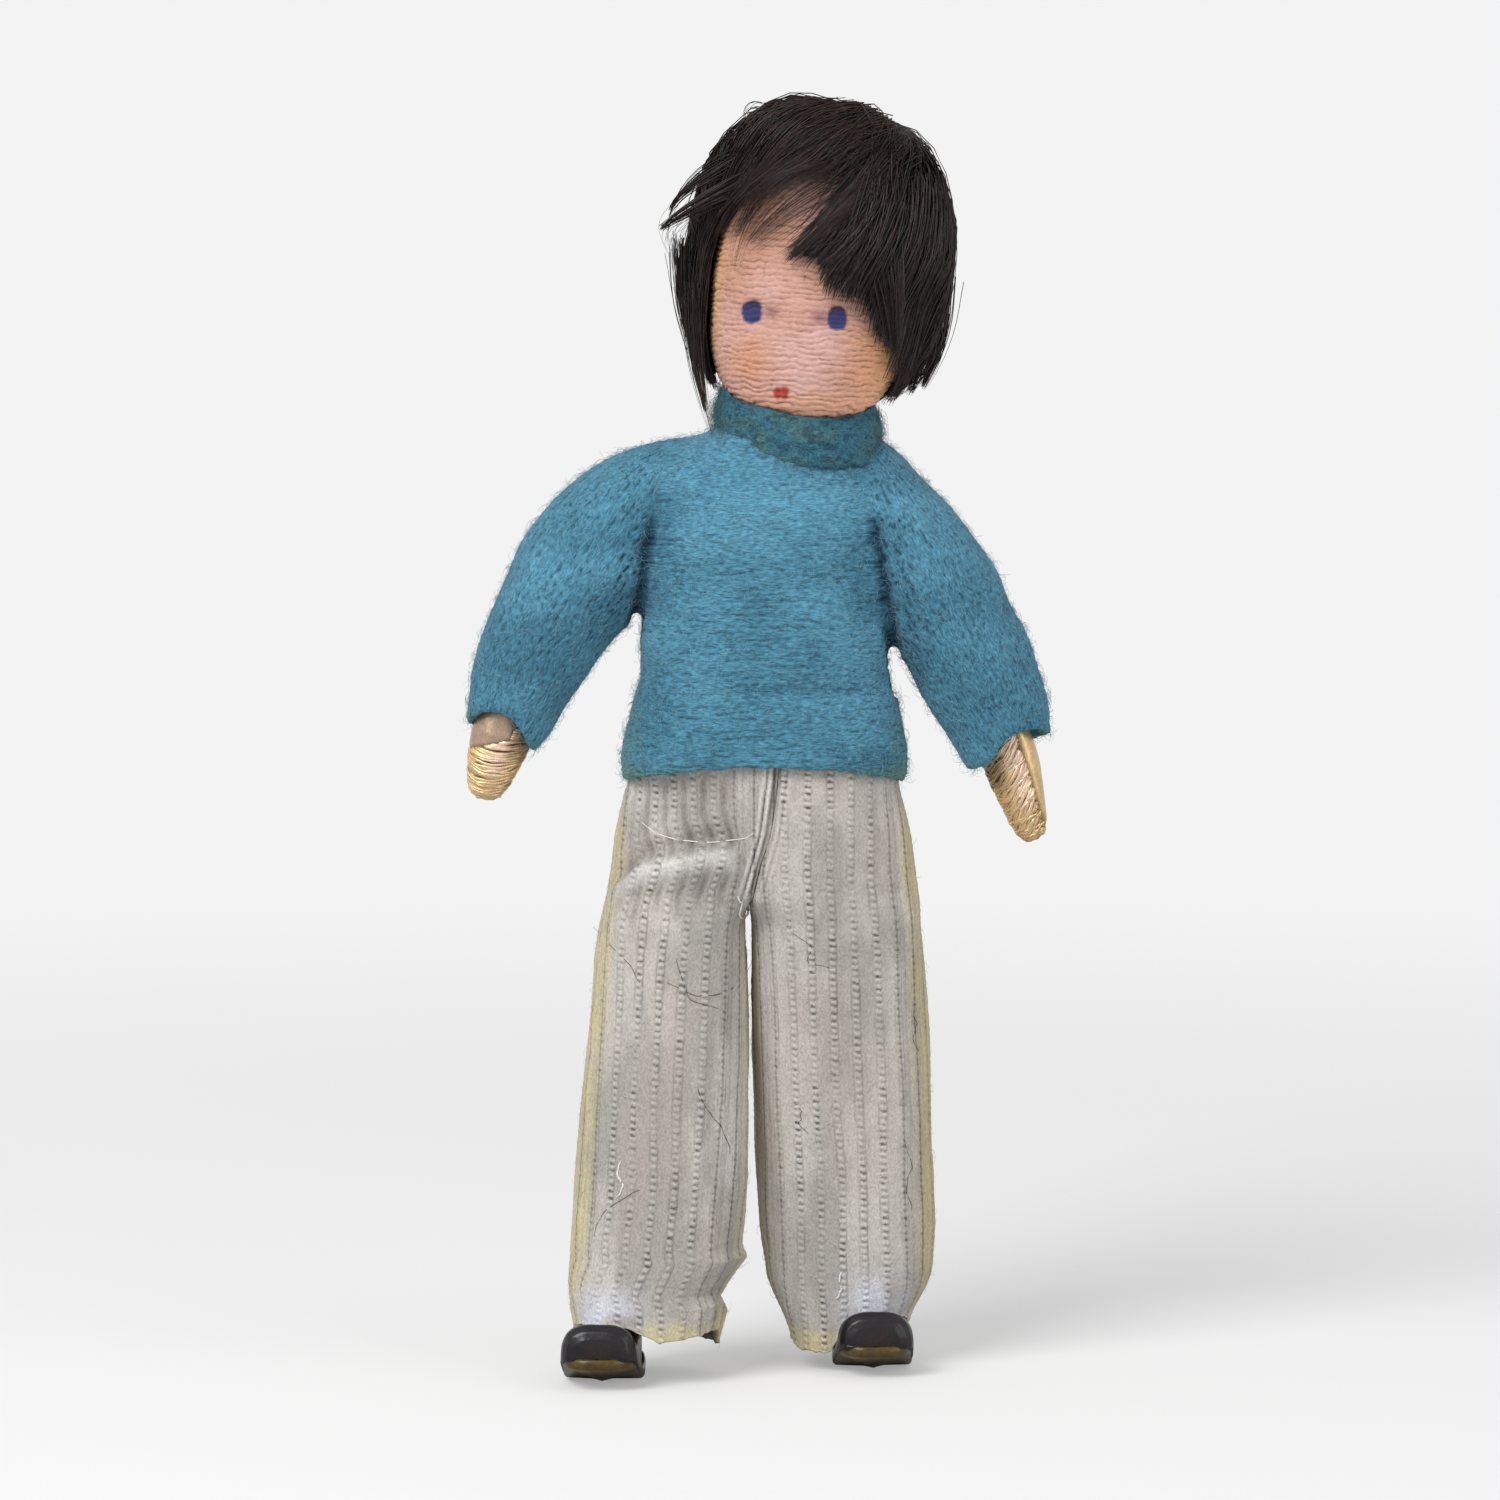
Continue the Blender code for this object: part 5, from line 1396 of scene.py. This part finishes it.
def hair_flow(points, turn_amount):
    """Direction in which the hair lies at these places."""
    away = units(points - CROWN)
    front = smooth(-points[:, 1] / 6.0)
    leftward = smooth((6.5 - points[:, 0]) / 9.0) * front * smooth((points[:, 2] + 2.0) / 8.0)
    flow = 0.55 * away + np.array((0, 0, -0.9))
    flow[:, 0] += -1.35 * leftward - 0.25 * front + turn_amount
    normal = units((points - HAIR_CENTRE) / HAIR_EGG ** 2)
    return units(flow - normal * np.sum(flow * normal, axis=1, keepdims=True))


def lock_paths(roots, steps, stride, rng):
    paths = [on_hair(roots, np.full((len(roots), 1), 0.9))]
    bias = rng.normal(0, 0.22, len(roots))
    for step in range(steps - 1):
        here = paths[-1]
        wander = 0.35 * noise(here, (3.5, 3.5, 3.5), 401)
        following = here + hair_flow(here, bias + wander) * stride
        paths.append(on_hair(following, np.full((len(roots), 1), 0.93)))
    return np.stack(paths, axis=1)


def make_hair():
    rng = np.random.default_rng(7)
    roots = HAIR_CENTRE + units(rng.normal(size=(3000, 3))) * HAIR_EGG
    roots = on_hair(roots, np.full((len(roots), 1), 0.9))
    world = from_head(roots)
    open_face = inside_face(world[:, 0], world[:, 2])
    keep = (roots[:, 2] > -5.0) & ~((roots[:, 1] < 0) & (open_face > -0.6))
    keep &= ~((roots[:, 1] < -2) & (world[:, 2] < 97) & (np.abs(roots[:, 0]) < 9.0))
    roots = roots[keep][:900]
    steps = 16
    paths = lock_paths(roots, steps, 1.55, rng)
    per_lock = 11
    count = len(roots) * per_lock
    lock = np.repeat(np.arange(len(roots)), per_lock)
    spread_out = rng.normal(0, 0.62, (count, 3))
    share = np.linspace(0, 1, steps)
    gather = 1 - 0.62 * share ** 1.2
    strands = paths[lock] + spread_out[:, None] * gather[None, :, None]
    layer = 1.0 - 0.085 * rng.uniform(0, 1, count) ** 0.8
    lift = mix(0.91, layer[:, None], smooth(share[None] * 3.5))
    strands = on_hair(strands, lift[..., None])
    waver = rng.normal(0, 0.16, (count, 3))[:, None]
    swing = np.sin(share * 5 + rng.uniform(0, 6, count)[:, None])
    strands = strands + waver * swing[..., None]
    world = from_head(strands.reshape(-1, 3)).reshape(strands.shape)
    depth = inside_face(world[..., 0], world[..., 2])
    lock_reach = rng.uniform(-1.0, 1.3, len(roots))
    allowed = (lock_reach[lock] + rng.uniform(-0.1, 0.5, count))[:, None]
    blocked = (depth > allowed) & (strands[..., 1] < 0)
    blocked |= (strands[..., 2] < -10.6 + rng.uniform(0, 1.4, count)[:, None])
    blocked |= world[..., 2] < 90.2
    blocked |= (strands[..., 1] < -3.0) & (world[..., 0] > 3) & (world[..., 2] < 92.5)
    first = np.where(blocked.any(axis=1), blocked.argmax(axis=1), steps) - 1
    first = np.minimum(first, (steps - 1) * rng.uniform(0.6, 1.0, count))
    use = first >= 2
    strands, first = strands[use], first[use].astype(float)
    resampled = 8
    at = first[:, None] * np.linspace(0, 1, resampled)[None]
    base = np.clip(np.floor(at).astype(int), 0, steps - 2)
    part = (at - base)[..., None]
    index = np.arange(len(strands))[:, None]
    strands = strands[index, base] * (1 - part) + strands[index, base + 1] * part
    tone = rng.uniform(0, 1, (len(strands), 1))
    colour = mix(BROWN_BLACK, WARM_BROWN, tone ** 2 * 0.9)
    # Pale strands are painted glints, hairs that catch the light.
    pale = rng.uniform(0, 1, len(strands)) < 0.025
    colour[pale] = mix(GLINT_ASH, WARM_BROWN, rng.uniform(0, 0.8, (int(pale.sum()), 1)))
    radius = rng.uniform(0.045, 0.085, len(strands))
    radius[pale] = 0.03
    taper = radius[:, None] * (1, 1, 1, 1, 0.95, 0.85, 0.62, 0.22)
    strands = from_head(strands.reshape(-1, 3)).reshape(-1, resampled, 3)
    groups = np.array_split(rng.permutation(len(strands)), 2)
    pieces = []
    for letter, group in zip("ab", groups):
        points, faces = tubes(strands[group], taper[group])
        tint = spread(colour[group], resampled, 3)
        pieces.append(new_piece(f"hair_strands_{letter}", points, faces, HAIR, tint))
    pieces.append(make_hair_cap())
    pieces.append(make_wisps())
    for piece in pieces:
        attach(piece, "head")
    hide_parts("hair")


def make_hair_cap():
    """The dark felt under the strands, open at the face and the neck."""
    count = 200
    rows = 150
    tilt = np.linspace(-1.0, math.pi / 2 - 0.01, rows)
    out = np.cos(tilt) ** (2 / HAIR_SQUARENESS)
    up = power(np.sin(tilt), 2 / HAIR_SQUARENESS)
    local = turned_profile(out, up, count, HAIR_EGG) + HAIR_CENTRE
    layer = 0.915 + 0.012 * noise(local, (1.6, 1.6, 2.4), 421)
    local = on_hair(local, layer[:, None])
    faces = grid_faces(rows, count)
    centres = local[faces].mean(axis=1)
    world = from_head(centres)
    ragged = 0.35 * noise(centres, (0.7, 0.7, 0.7), 422)
    hidden = (inside_face(world[:, 0], world[:, 2]) > -0.7 + ragged) & (centres[:, 1] < 0)
    hidden |= (centres[:, 1] < -1.5) & (world[:, 2] < 96.5) & (np.abs(centres[:, 0]) < 9.6)
    faces = faces[~hidden & (centres[:, 2] > -9.8)]
    used, index = np.unique(faces, return_inverse=True)
    points = from_head(local[used])
    colour = over(BROWN_BLACK, WARM_BROWN, 0.15 + 0.2 * noise(local[used], (0.3, 0.3, 1.5), 423))
    # The felt is darkened to 0.6 as painted shade under the strands.
    return new_piece("hair_cap", points, index.reshape(-1, 4), HAIR_FELT, colour * 0.6)


# For each lock its places, the number of strands, how far they spread, and their radius
WISPS = (
    (((0.6, -4.0, 111.5), (-3.4, -5.0, 110.0), (-6.6, -4.5, 108.2), (-9.2, -3.6, 106.6)), 46, 0.60, 0.055),
    (((-0.8, -3.4, 113.5), (-4.8, -4.0, 111.4), (-7.5, -3.6, 109.6), (-8.4, -3.2, 108.3)), 26, 0.45, 0.055),
    (((-0.8, -2.0, 114.2), (-5.0, -2.4, 112.6), (-7.6, -2.2, 110.0), (-8.5, -2.0, 107.6)), 12, 0.4, 0.05),
    (((-5.6, -2.0, 109.0), (-8.2, -2.0, 107.2), (-8.8, -2.0, 105.6), (-8.2, -2.0, 104.2)), 16, 1.1, 0.022),
    (((1.6, 0.0, 117.2), (-0.4, 0.0, 118.2), (-1.6, 0.0, 117.2), (-1.2, 0.0, 115.8)), 12, 0.5, 0.03),
    (((-6.4, -3.0, 100.5), (-6.4, -3.6, 97.0), (-5.9, -4.4, 93.4), (-5.2, -5.0, 90.0)), 90, 0.55, 0.034),
    (((-6.2, -3.4, 98.0), (-6.0, -4.2, 94.4), (-5.4, -5.2, 91.2), (-4.5, -6.2, 87.6)), 26, 0.5, 0.026),
    (((-7.6, -1.0, 105.0), (-7.5, -1.4, 101.0), (-7.1, -1.8, 98.0), (-6.4, -2.2, 94.6)), 90, 0.5, 0.036),
    (((11.0, -8.8, 106.0), (11.6, -9.8, 102.0), (11.9, -9.6, 98.4), (12.1, -8.8, 95.0)), 60, 0.9, 0.045),
    (((15.9, 1.0, 104.0), (16.5, 1.5, 99.0), (15.9, 1.5, 95.5), (13.8, 1.2, 91.6)), 80, 0.8, 0.060),
    (((14.4, 0.0, 100.0), (14.8, 0.0, 96.0), (13.6, 0.5, 93.2), (11.8, 1.0, 91.2)), 80, 0.9, 0.060),
    (((16.8, 2.0, 102.0), (16.9, 2.2, 98.0), (16.2, 2.2, 94.8), (15.0, 2.0, 92.0)), 80, 0.6, 0.050),
    (((6.0, -9.8, 113.2), (9.8, -10.6, 111.0), (11.4, -10.6, 108.6), (11.0, -10.6, 106.4)), 3, 0.8, 0.022),
    (((12.8, -9.0, 110.8), (13.0, -9.6, 107.0), (14.4, -8.2, 103.0), (15.4, -6.2, 98.0)), 4, 0.9, 0.022),
)
FOREHEAD_WISPS = (
    (((9.0, -3.0, 117.2), (4.6, -6.0, 116.4), (0.6, -7.0, 114.4), (-3.4, -7.0, 110.8)), 190, 1.5, 0.050),
    (((10.6, -4.0, 116.0), (8.2, -7.0, 114.6), (4.0, -8.0, 113.2), (0.2, -8.0, 111.4)), 210, 1.4, 0.050),
    (((12.0, -5.0, 114.2), (10.4, -8.0, 112.0), (8.0, -9.0, 109.4), (5.4, -9.0, 106.4)), 190, 1.4, 0.050),
    (((3.6, -4.0, 117.4), (-0.4, -5.0, 115.6), (-3.6, -5.0, 112.0), (-5.8, -4.0, 107.0)), 170, 1.2, 0.050),
    (((10.2, -8.0, 113.2), (6.5, -9.0, 111.0), (2.5, -9.0, 108.0), (-1.6, -9.0, 105.6)), 70, 1.8, 0.026),
    (((8.0, -8.0, 114.6), (3.6, -8.0, 112.8), (-0.2, -8.0, 109.8), (-3.2, -8.0, 106.6)), 80, 1.6, 0.026),
    (((4.6, -8.0, 115.0), (0.8, -8.0, 113.4), (-2.2, -7.0, 110.6), (-4.8, -6.0, 107.0)), 90, 1.1, 0.030),
    (((10.4, -8.0, 111.4), (7.6, -9.0, 108.4), (5.0, -9.0, 105.4), (2.8, -9.0, 103.6)), 90, 0.9, 0.032),
    (((2.8, -8.0, 112.4), (-0.6, -8.0, 109.0), (-2.6, -8.0, 106.0), (-3.4, -8.0, 103.2)), 16, 1.6, 0.018),
)


def make_wisps():
    """Loose locks that leave the outline of the hair, and thin ones over the forehead."""
    rng = np.random.default_rng(9)
    parts = []
    share = np.linspace(0, 1, 10)
    for number, (knots, count, width, radius) in enumerate(WISPS + FOREHEAD_WISPS):
        knots = np.array(knots)
        curve = [np.interp(share, np.linspace(0, 1, len(knots)), knots[:, k]) for k in range(3)]
        curve = softened(np.stack(curve, axis=1), 3)
        offset = rng.normal(0, 1, (count, 3)) * (width, 0.3, width)
        narrowing = (1 - 0.75 * share ** 0.8)[None, :, None]
        sway = rng.normal(0, 0.25 * width, (count, 3))[:, None] * np.sin(share * 3.1)[None, :, None]
        paths = curve[None] + offset[:, None] * narrowing + sway
        sizes = radius * rng.uniform(0.7, 1.3, count)[:, None] * (1 - 0.75 * share ** 2)[None]
        tone = rng.uniform(0, 1, (count, 1)) ** 2
        if number >= len(WISPS):
            late = rng.uniform(0, 0.35, count)[:, None] * (share[-1] - share)[None]
            paths = paths + late[..., None] * np.array((3.0, 0, 3.0))
            local = (paths - HEAD_CENTRE) @ HEAD_AXES
            paths = from_head(on_hair(local, rng.uniform(0.90, 0.985, (count, 1, 1))))
            tone = tone ** 0.5
        parts.append((*tubes(paths, sizes), spread(mix(BROWN_BLACK, WARM_BROWN, tone), 10, 3)))
    points, faces, colour = joined(parts)
    return new_piece("hair_wisps", points, faces, HAIR, colour)


make_head()
make_hair()


# Hands

HAND_SHARES = ((-0.45, 0.88), (0, 1.0), (0.20, 0.95), (0.50, 0.79), (0.75, 0.64), (0.92, 0.47), (1, 0.24))
HAND_FLATNESS = 0.74
THREAD_PITCH = 0.40
THREAD_TAN = paint(214, 178, 112)
THREAD_PINK_HIGHLIGHT = paint(246, 216, 190)
THREAD_BROWN = paint(140, 112, 84)
PATCH_TAN = {"right": paint(168, 142, 118), "left": paint(206, 174, 124)}
DARK_THREAD_AND_GAP_SHADE = paint(84, 62, 28)
HAND_WRAPS = {"right": (0.20, -0.05), "left": (0.10, -0.28)}
HAND_CRINKLE = {"right": 0.006, "left": 0.018}


def make_hand(side):
    """A padded core, wound closely with shiny thread."""
    rng = np.random.default_rng(500 + SIDES[side])
    along = down_arm(side, HAND_DEGREES[side])
    deep = np.array((0.0, -1.0, 0.0))
    across = np.cross(deep, along)
    length = HAND_LENGTH[side]
    wrist = WRIST[side] + (HAND_SHIFT[side], 0, 0)

    def surface(share, angle, grow):
        radius = rows_at(HAND_SHARES, share)[0] * HAND_RADIUS[side] + grow
        centre = wrist + np.multiply.outer(share * length, along)
        sideways = np.multiply.outer(radius * np.cos(angle), across)
        return centre + sideways + np.multiply.outer(radius * HAND_FLATNESS * np.sin(angle), deep)

    def smooth_patch(places):
        """1 where the padding shows between the threads, as the photo has it on each hand."""
        relative = (places - wrist) / HAND_RADIUS[side]
        lateral = relative @ across * SIDES[side]
        down = (places - wrist) @ along / length
        front = smooth(1.3 - relative[:, 1] * 3.0)
        if side == "right":
            return smooth((lateral + 0.55) / 0.3) * smooth((0.12 + 0.24 * lateral - down) / 0.06) * front
        return smooth((lateral - 0.42) / 0.12) * front

    shares = np.linspace(-0.42, 1.0, 60)
    angles, _, _ = circle(64)
    rows = [surface(np.full(64, share), angles, -0.05) for share in shares]
    rows.append(surface(np.full(64, 1.02), angles, -0.27))
    points = np.concatenate(rows)
    faces = grid_faces(len(rows), 64)
    streak = 0.12 * noise(points, (0.25, 0.25, 1.2), 505)
    shown = smooth_patch(points)
    # Where the threads cover the core it is dark, painted shade in the gaps between the wraps; the smooth
    # patch keeps its tan.
    colour = mix(DARK_THREAD_AND_GAP_SHADE, PATCH_TAN[side] * (1 + streak[:, None]), shown[:, None])
    out = units(points - wrist - np.multiply.outer((points - wrist) @ along, along))
    points = points + out * ((0.24 + 0.3 * streak) * shown)[:, None]
    parts = [(points, faces, colour)]
    turns = length * 1.36 / THREAD_PITCH
    bow, slant = HAND_WRAPS[side]
    strands = ((1.0, 0.215, 0.0, 0.0), (1.0, 0.17, 0.17, 0.45), (-0.3, 0.12, 0.28, 0.2))
    for slope, size, grow, start in strands:
        total = int(turns * abs(slope) * 44)
        t = np.linspace(0, 1, total)
        angle = math.copysign(1, slope) * (t * turns * abs(slope) + start) * 2 * math.pi
        share = -0.36 + 1.34 * t
        loose = np.interp(t, np.linspace(0, 1, 26), rng.normal(0, 1, 26))
        tilt = (bow + 0.03 * loose) * np.sin(angle) + slant * np.cos(angle)
        jitter = 0.014 * np.interp(t, np.linspace(0, 1, 90), rng.normal(0, 1, 90))
        jitter = jitter + HAND_CRINKLE[side] * np.sin(angle * 6.3 + start * 9)
        share = np.clip(share + tilt * (1 - np.abs(share) ** 3) + jitter, -0.4, 1.0)
        hidden = smooth_patch(surface(share, angle, 0.0))
        path = surface(share, angle, grow - 0.62 * hidden)
        radii = size * (1 + 0.15 * np.sin(t * 90) + 0.10 * np.sin(t * 391))
        thread = tubes(path[None], radii[None], 7)
        from_middle = (path - wrist) @ across
        down = (path - wrist) @ along / length
        # A pale band across the threads: painted highlight, with random pink tone.
        highlight_band = np.exp(-((from_middle - 0.3) / 0.9) ** 2) * smooth((0.78 - down) / 0.35)
        brown = smooth((SIDES[side] * from_middle * -1 - 0.5) / 1.0) * smooth((0.42 - down) / 0.2)
        tone = np.interp(t, np.linspace(0, 1, 240), rng.uniform(-0.5, 0.5, 240))
        tint = over(THREAD_TAN, THREAD_PINK_HIGHLIGHT, 0.25 + 0.75 * highlight_band + 0.45 * tone)
        tint = over(tint, THREAD_BROWN, 0.75 * brown)
        tint = over(tint, DARK_THREAD_AND_GAP_SHADE, 0.55 * tone + 0.08)
        parts.append((*thread, np.repeat(tint, 7, axis=0)))
    points, faces, colour = joined(parts)
    hand = new_piece(f"hand_wound_{side}", points, faces, THREAD, colour)
    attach(hand, f"hand_{side}")
    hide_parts(f"hand_core_{side}", f"hand_winding_{side}")


# Shoes

SHOE_SHARES = (
    (0.00, 0.62, 0.55),
    (0.02, 0.80, 0.76),
    (0.06, 0.92, 0.92),
    (0.12, 0.99, 1.00),
    (0.22, 1.00, 1.02),
    (0.32, 1.00, 1.06),
    (0.42, 0.98, 1.30),
    (0.60, 0.94, 1.40),
    (0.70, 0.92, 1.35),
    (0.85, 0.88, 1.25),
    (0.95, 0.72, 1.10),
    (1.00, 0.45, 0.95),
)
TOE_OUT = {"right": 4, "left": 2}
SHOE_MIDDLE = {"right": -14.5, "left": 10.3}
BLACK_LEATHER = paint(26, 23, 27)
BROWN_LEATHER = paint(52, 36, 22)
EDGE_LEATHER = paint(150, 122, 84)
SOLE_AMBER = paint(84, 68, 26)
SOLE_DARK = paint(44, 32, 18)
SOLE_THICK = 1.05
SOLE_HALF = 3.72
# How high the sole's underside lies along the shoe, from the toe to the heel
SOLE_LINE = (
    (-9.6, 2.1), (-8.0, 1.9), (-6.4, 1.1), (-4.8, 0.35), (-3.4, 0.12), (-1.6, 0.30), (0.6, 0.95), (4.4, 1.0),
)
SHOE_SIZE = (3.6, 13.3, 3.5)
SHOE_HEEL_Y = 4.2


def sole_slab(low, high, heel_only):
    """A slab with the outline of the shoe and rounded edges, from its upper edge down."""
    arc = np.linspace(0, 2 * math.pi, 120, endpoint=False)
    cosine, sine = np.cos(arc), np.sin(arc)
    if heel_only:
        x = power(cosine, 0.6) * 2.9
        y = 1.6 + power(sine, 0.6) * 2.6
    else:
        x = power(cosine, 0.62) * (SOLE_HALF + 0.10 * sine)
        y = -2.6 + power(sine, 0.62) * 6.9
    middle = np.array((0.0, np.mean(y)))
    rows = []
    levels = ((high, 3.0), (high, 0.22), (high - 0.18, 0.0), (low + 0.15, 0.06), (low, 0.28), (low, 3.0))
    for z, inset in levels:
        away = np.stack([x, y - middle[1]], axis=1)
        size = np.linalg.norm(away, axis=1, keepdims=True)
        away = away * np.maximum(size - inset, 0.02) / size
        if inset > 2.0:
            away[:, 0] = 0.0
        forward = away[:, 1] + middle[1] - 2.2 * np.abs(away[:, 0] / SOLE_HALF) ** 3
        ground = away[:, 1] * 0 if heel_only else rows_at(SOLE_LINE, forward)[0]
        rows.append(np.stack([away[:, 0], away[:, 1] + middle[1], z + ground], axis=1))
    return np.concatenate(rows), grid_faces(6, 120)


def make_shoe(side):
    """A glossy upper on a leather sole and a heel block."""
    sign = SIDES[side]
    axes = turn("Z", sign * TOE_OUT[side])
    ankle = np.array((SHOE_MIDDLE[side], ANKLE[side][1], 0.0))
    for kind, low, high in (("sole", 0.0, SOLE_THICK), ("heel", 0.0, 1.0)):
        points, faces = sole_slab(low, high, kind == "heel")
        rough = noise(points, (0.7, 0.7, 0.4), 605)
        behind = smooth((points[:, 1] - 4.5 * np.abs(points[:, 0] / SOLE_HALF) ** 3 + 6.9) / 0.8)
        colour = over(SOLE_AMBER, SOLE_DARK, 0.25 + 0.5 * rough + behind)
        if kind == "heel":
            colour = colour * 0.6
        points = points @ axes.T + ankle
        slab = new_piece(f"leather_{kind}_{side}", points, faces, LEATHER, colour)
        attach(slab, f"foot_{side}")
        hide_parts(f"shoe_{kind}_{side}")
    arc = np.linspace(-0.12, math.pi + 0.12, 60)
    cosine, sine = np.cos(arc), np.sin(arc)
    x = power(cosine, 2 / 3.0)
    z = power(sine, 2 / 3.0)
    rows = []
    shares = np.concatenate(((0.0,), np.linspace(0, 1, 90) ** 1.5, (1.0,)))
    for number, share in enumerate(shares):
        width, height = rows_at(SHOE_SHARES, share)
        if number in (0, len(shares) - 1):
            width, height = 0.03, 0.05
        y = SHOE_HEEL_Y - SHOE_SIZE[1] * (1 - share)
        low = rows_at(SOLE_LINE, y)[0] + SOLE_THICK - 0.1
        top = low + np.maximum(z * height * SHOE_SIZE[2], -0.05)
        rows.append(np.stack([x * width * SHOE_SIZE[0], np.full(60, y), top], axis=1))
    local = np.concatenate(rows)
    faces = grid_faces(len(rows), 60)
    normals = vertex_normals(local, faces)
    height = 0.05 * noise(local, (1.2, 1.2, 1.2), 601 + sign)
    height = height + 0.012 * noise(local, (0.3, 0.3, 0.3), 602)
    local = local + normals * height[:, None] * np.sign(np.sum(normals[2000:2600, 2]))
    # Browner towards the bottom and in random patches.
    browner_low = np.clip(0.25 + 0.5 * noise(local, (0.9, 0.9, 0.9), 603) - local[:, 2] * 0.08, 0, 0.8)
    colour = over(BLACK_LEATHER, BROWN_LEATHER, browner_low)
    rim = bump(local[:, 1] + 0.9 + 0.35 * (local[:, 0] / 3.7) ** 2, 0.0, 0.30) * smooth(local[:, 2] - 2.5)
    colour = over(colour, EDGE_LEATHER, 0.75 * rim)
    points = local @ axes.T + ankle
    upper = new_piece(f"shoe_cap_{side}", points, faces, LEATHER, colour)
    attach(upper, f"foot_{side}")
    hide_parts(f"shoe_upper_{side}")


for side in SIDES:
    make_hand(side)
    make_shoe(side)


# Materials of the CAD parts that stay

for name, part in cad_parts.items():
    if "wire" in name:
        part.data.materials.clear()
        part.data.materials.append(STEEL)
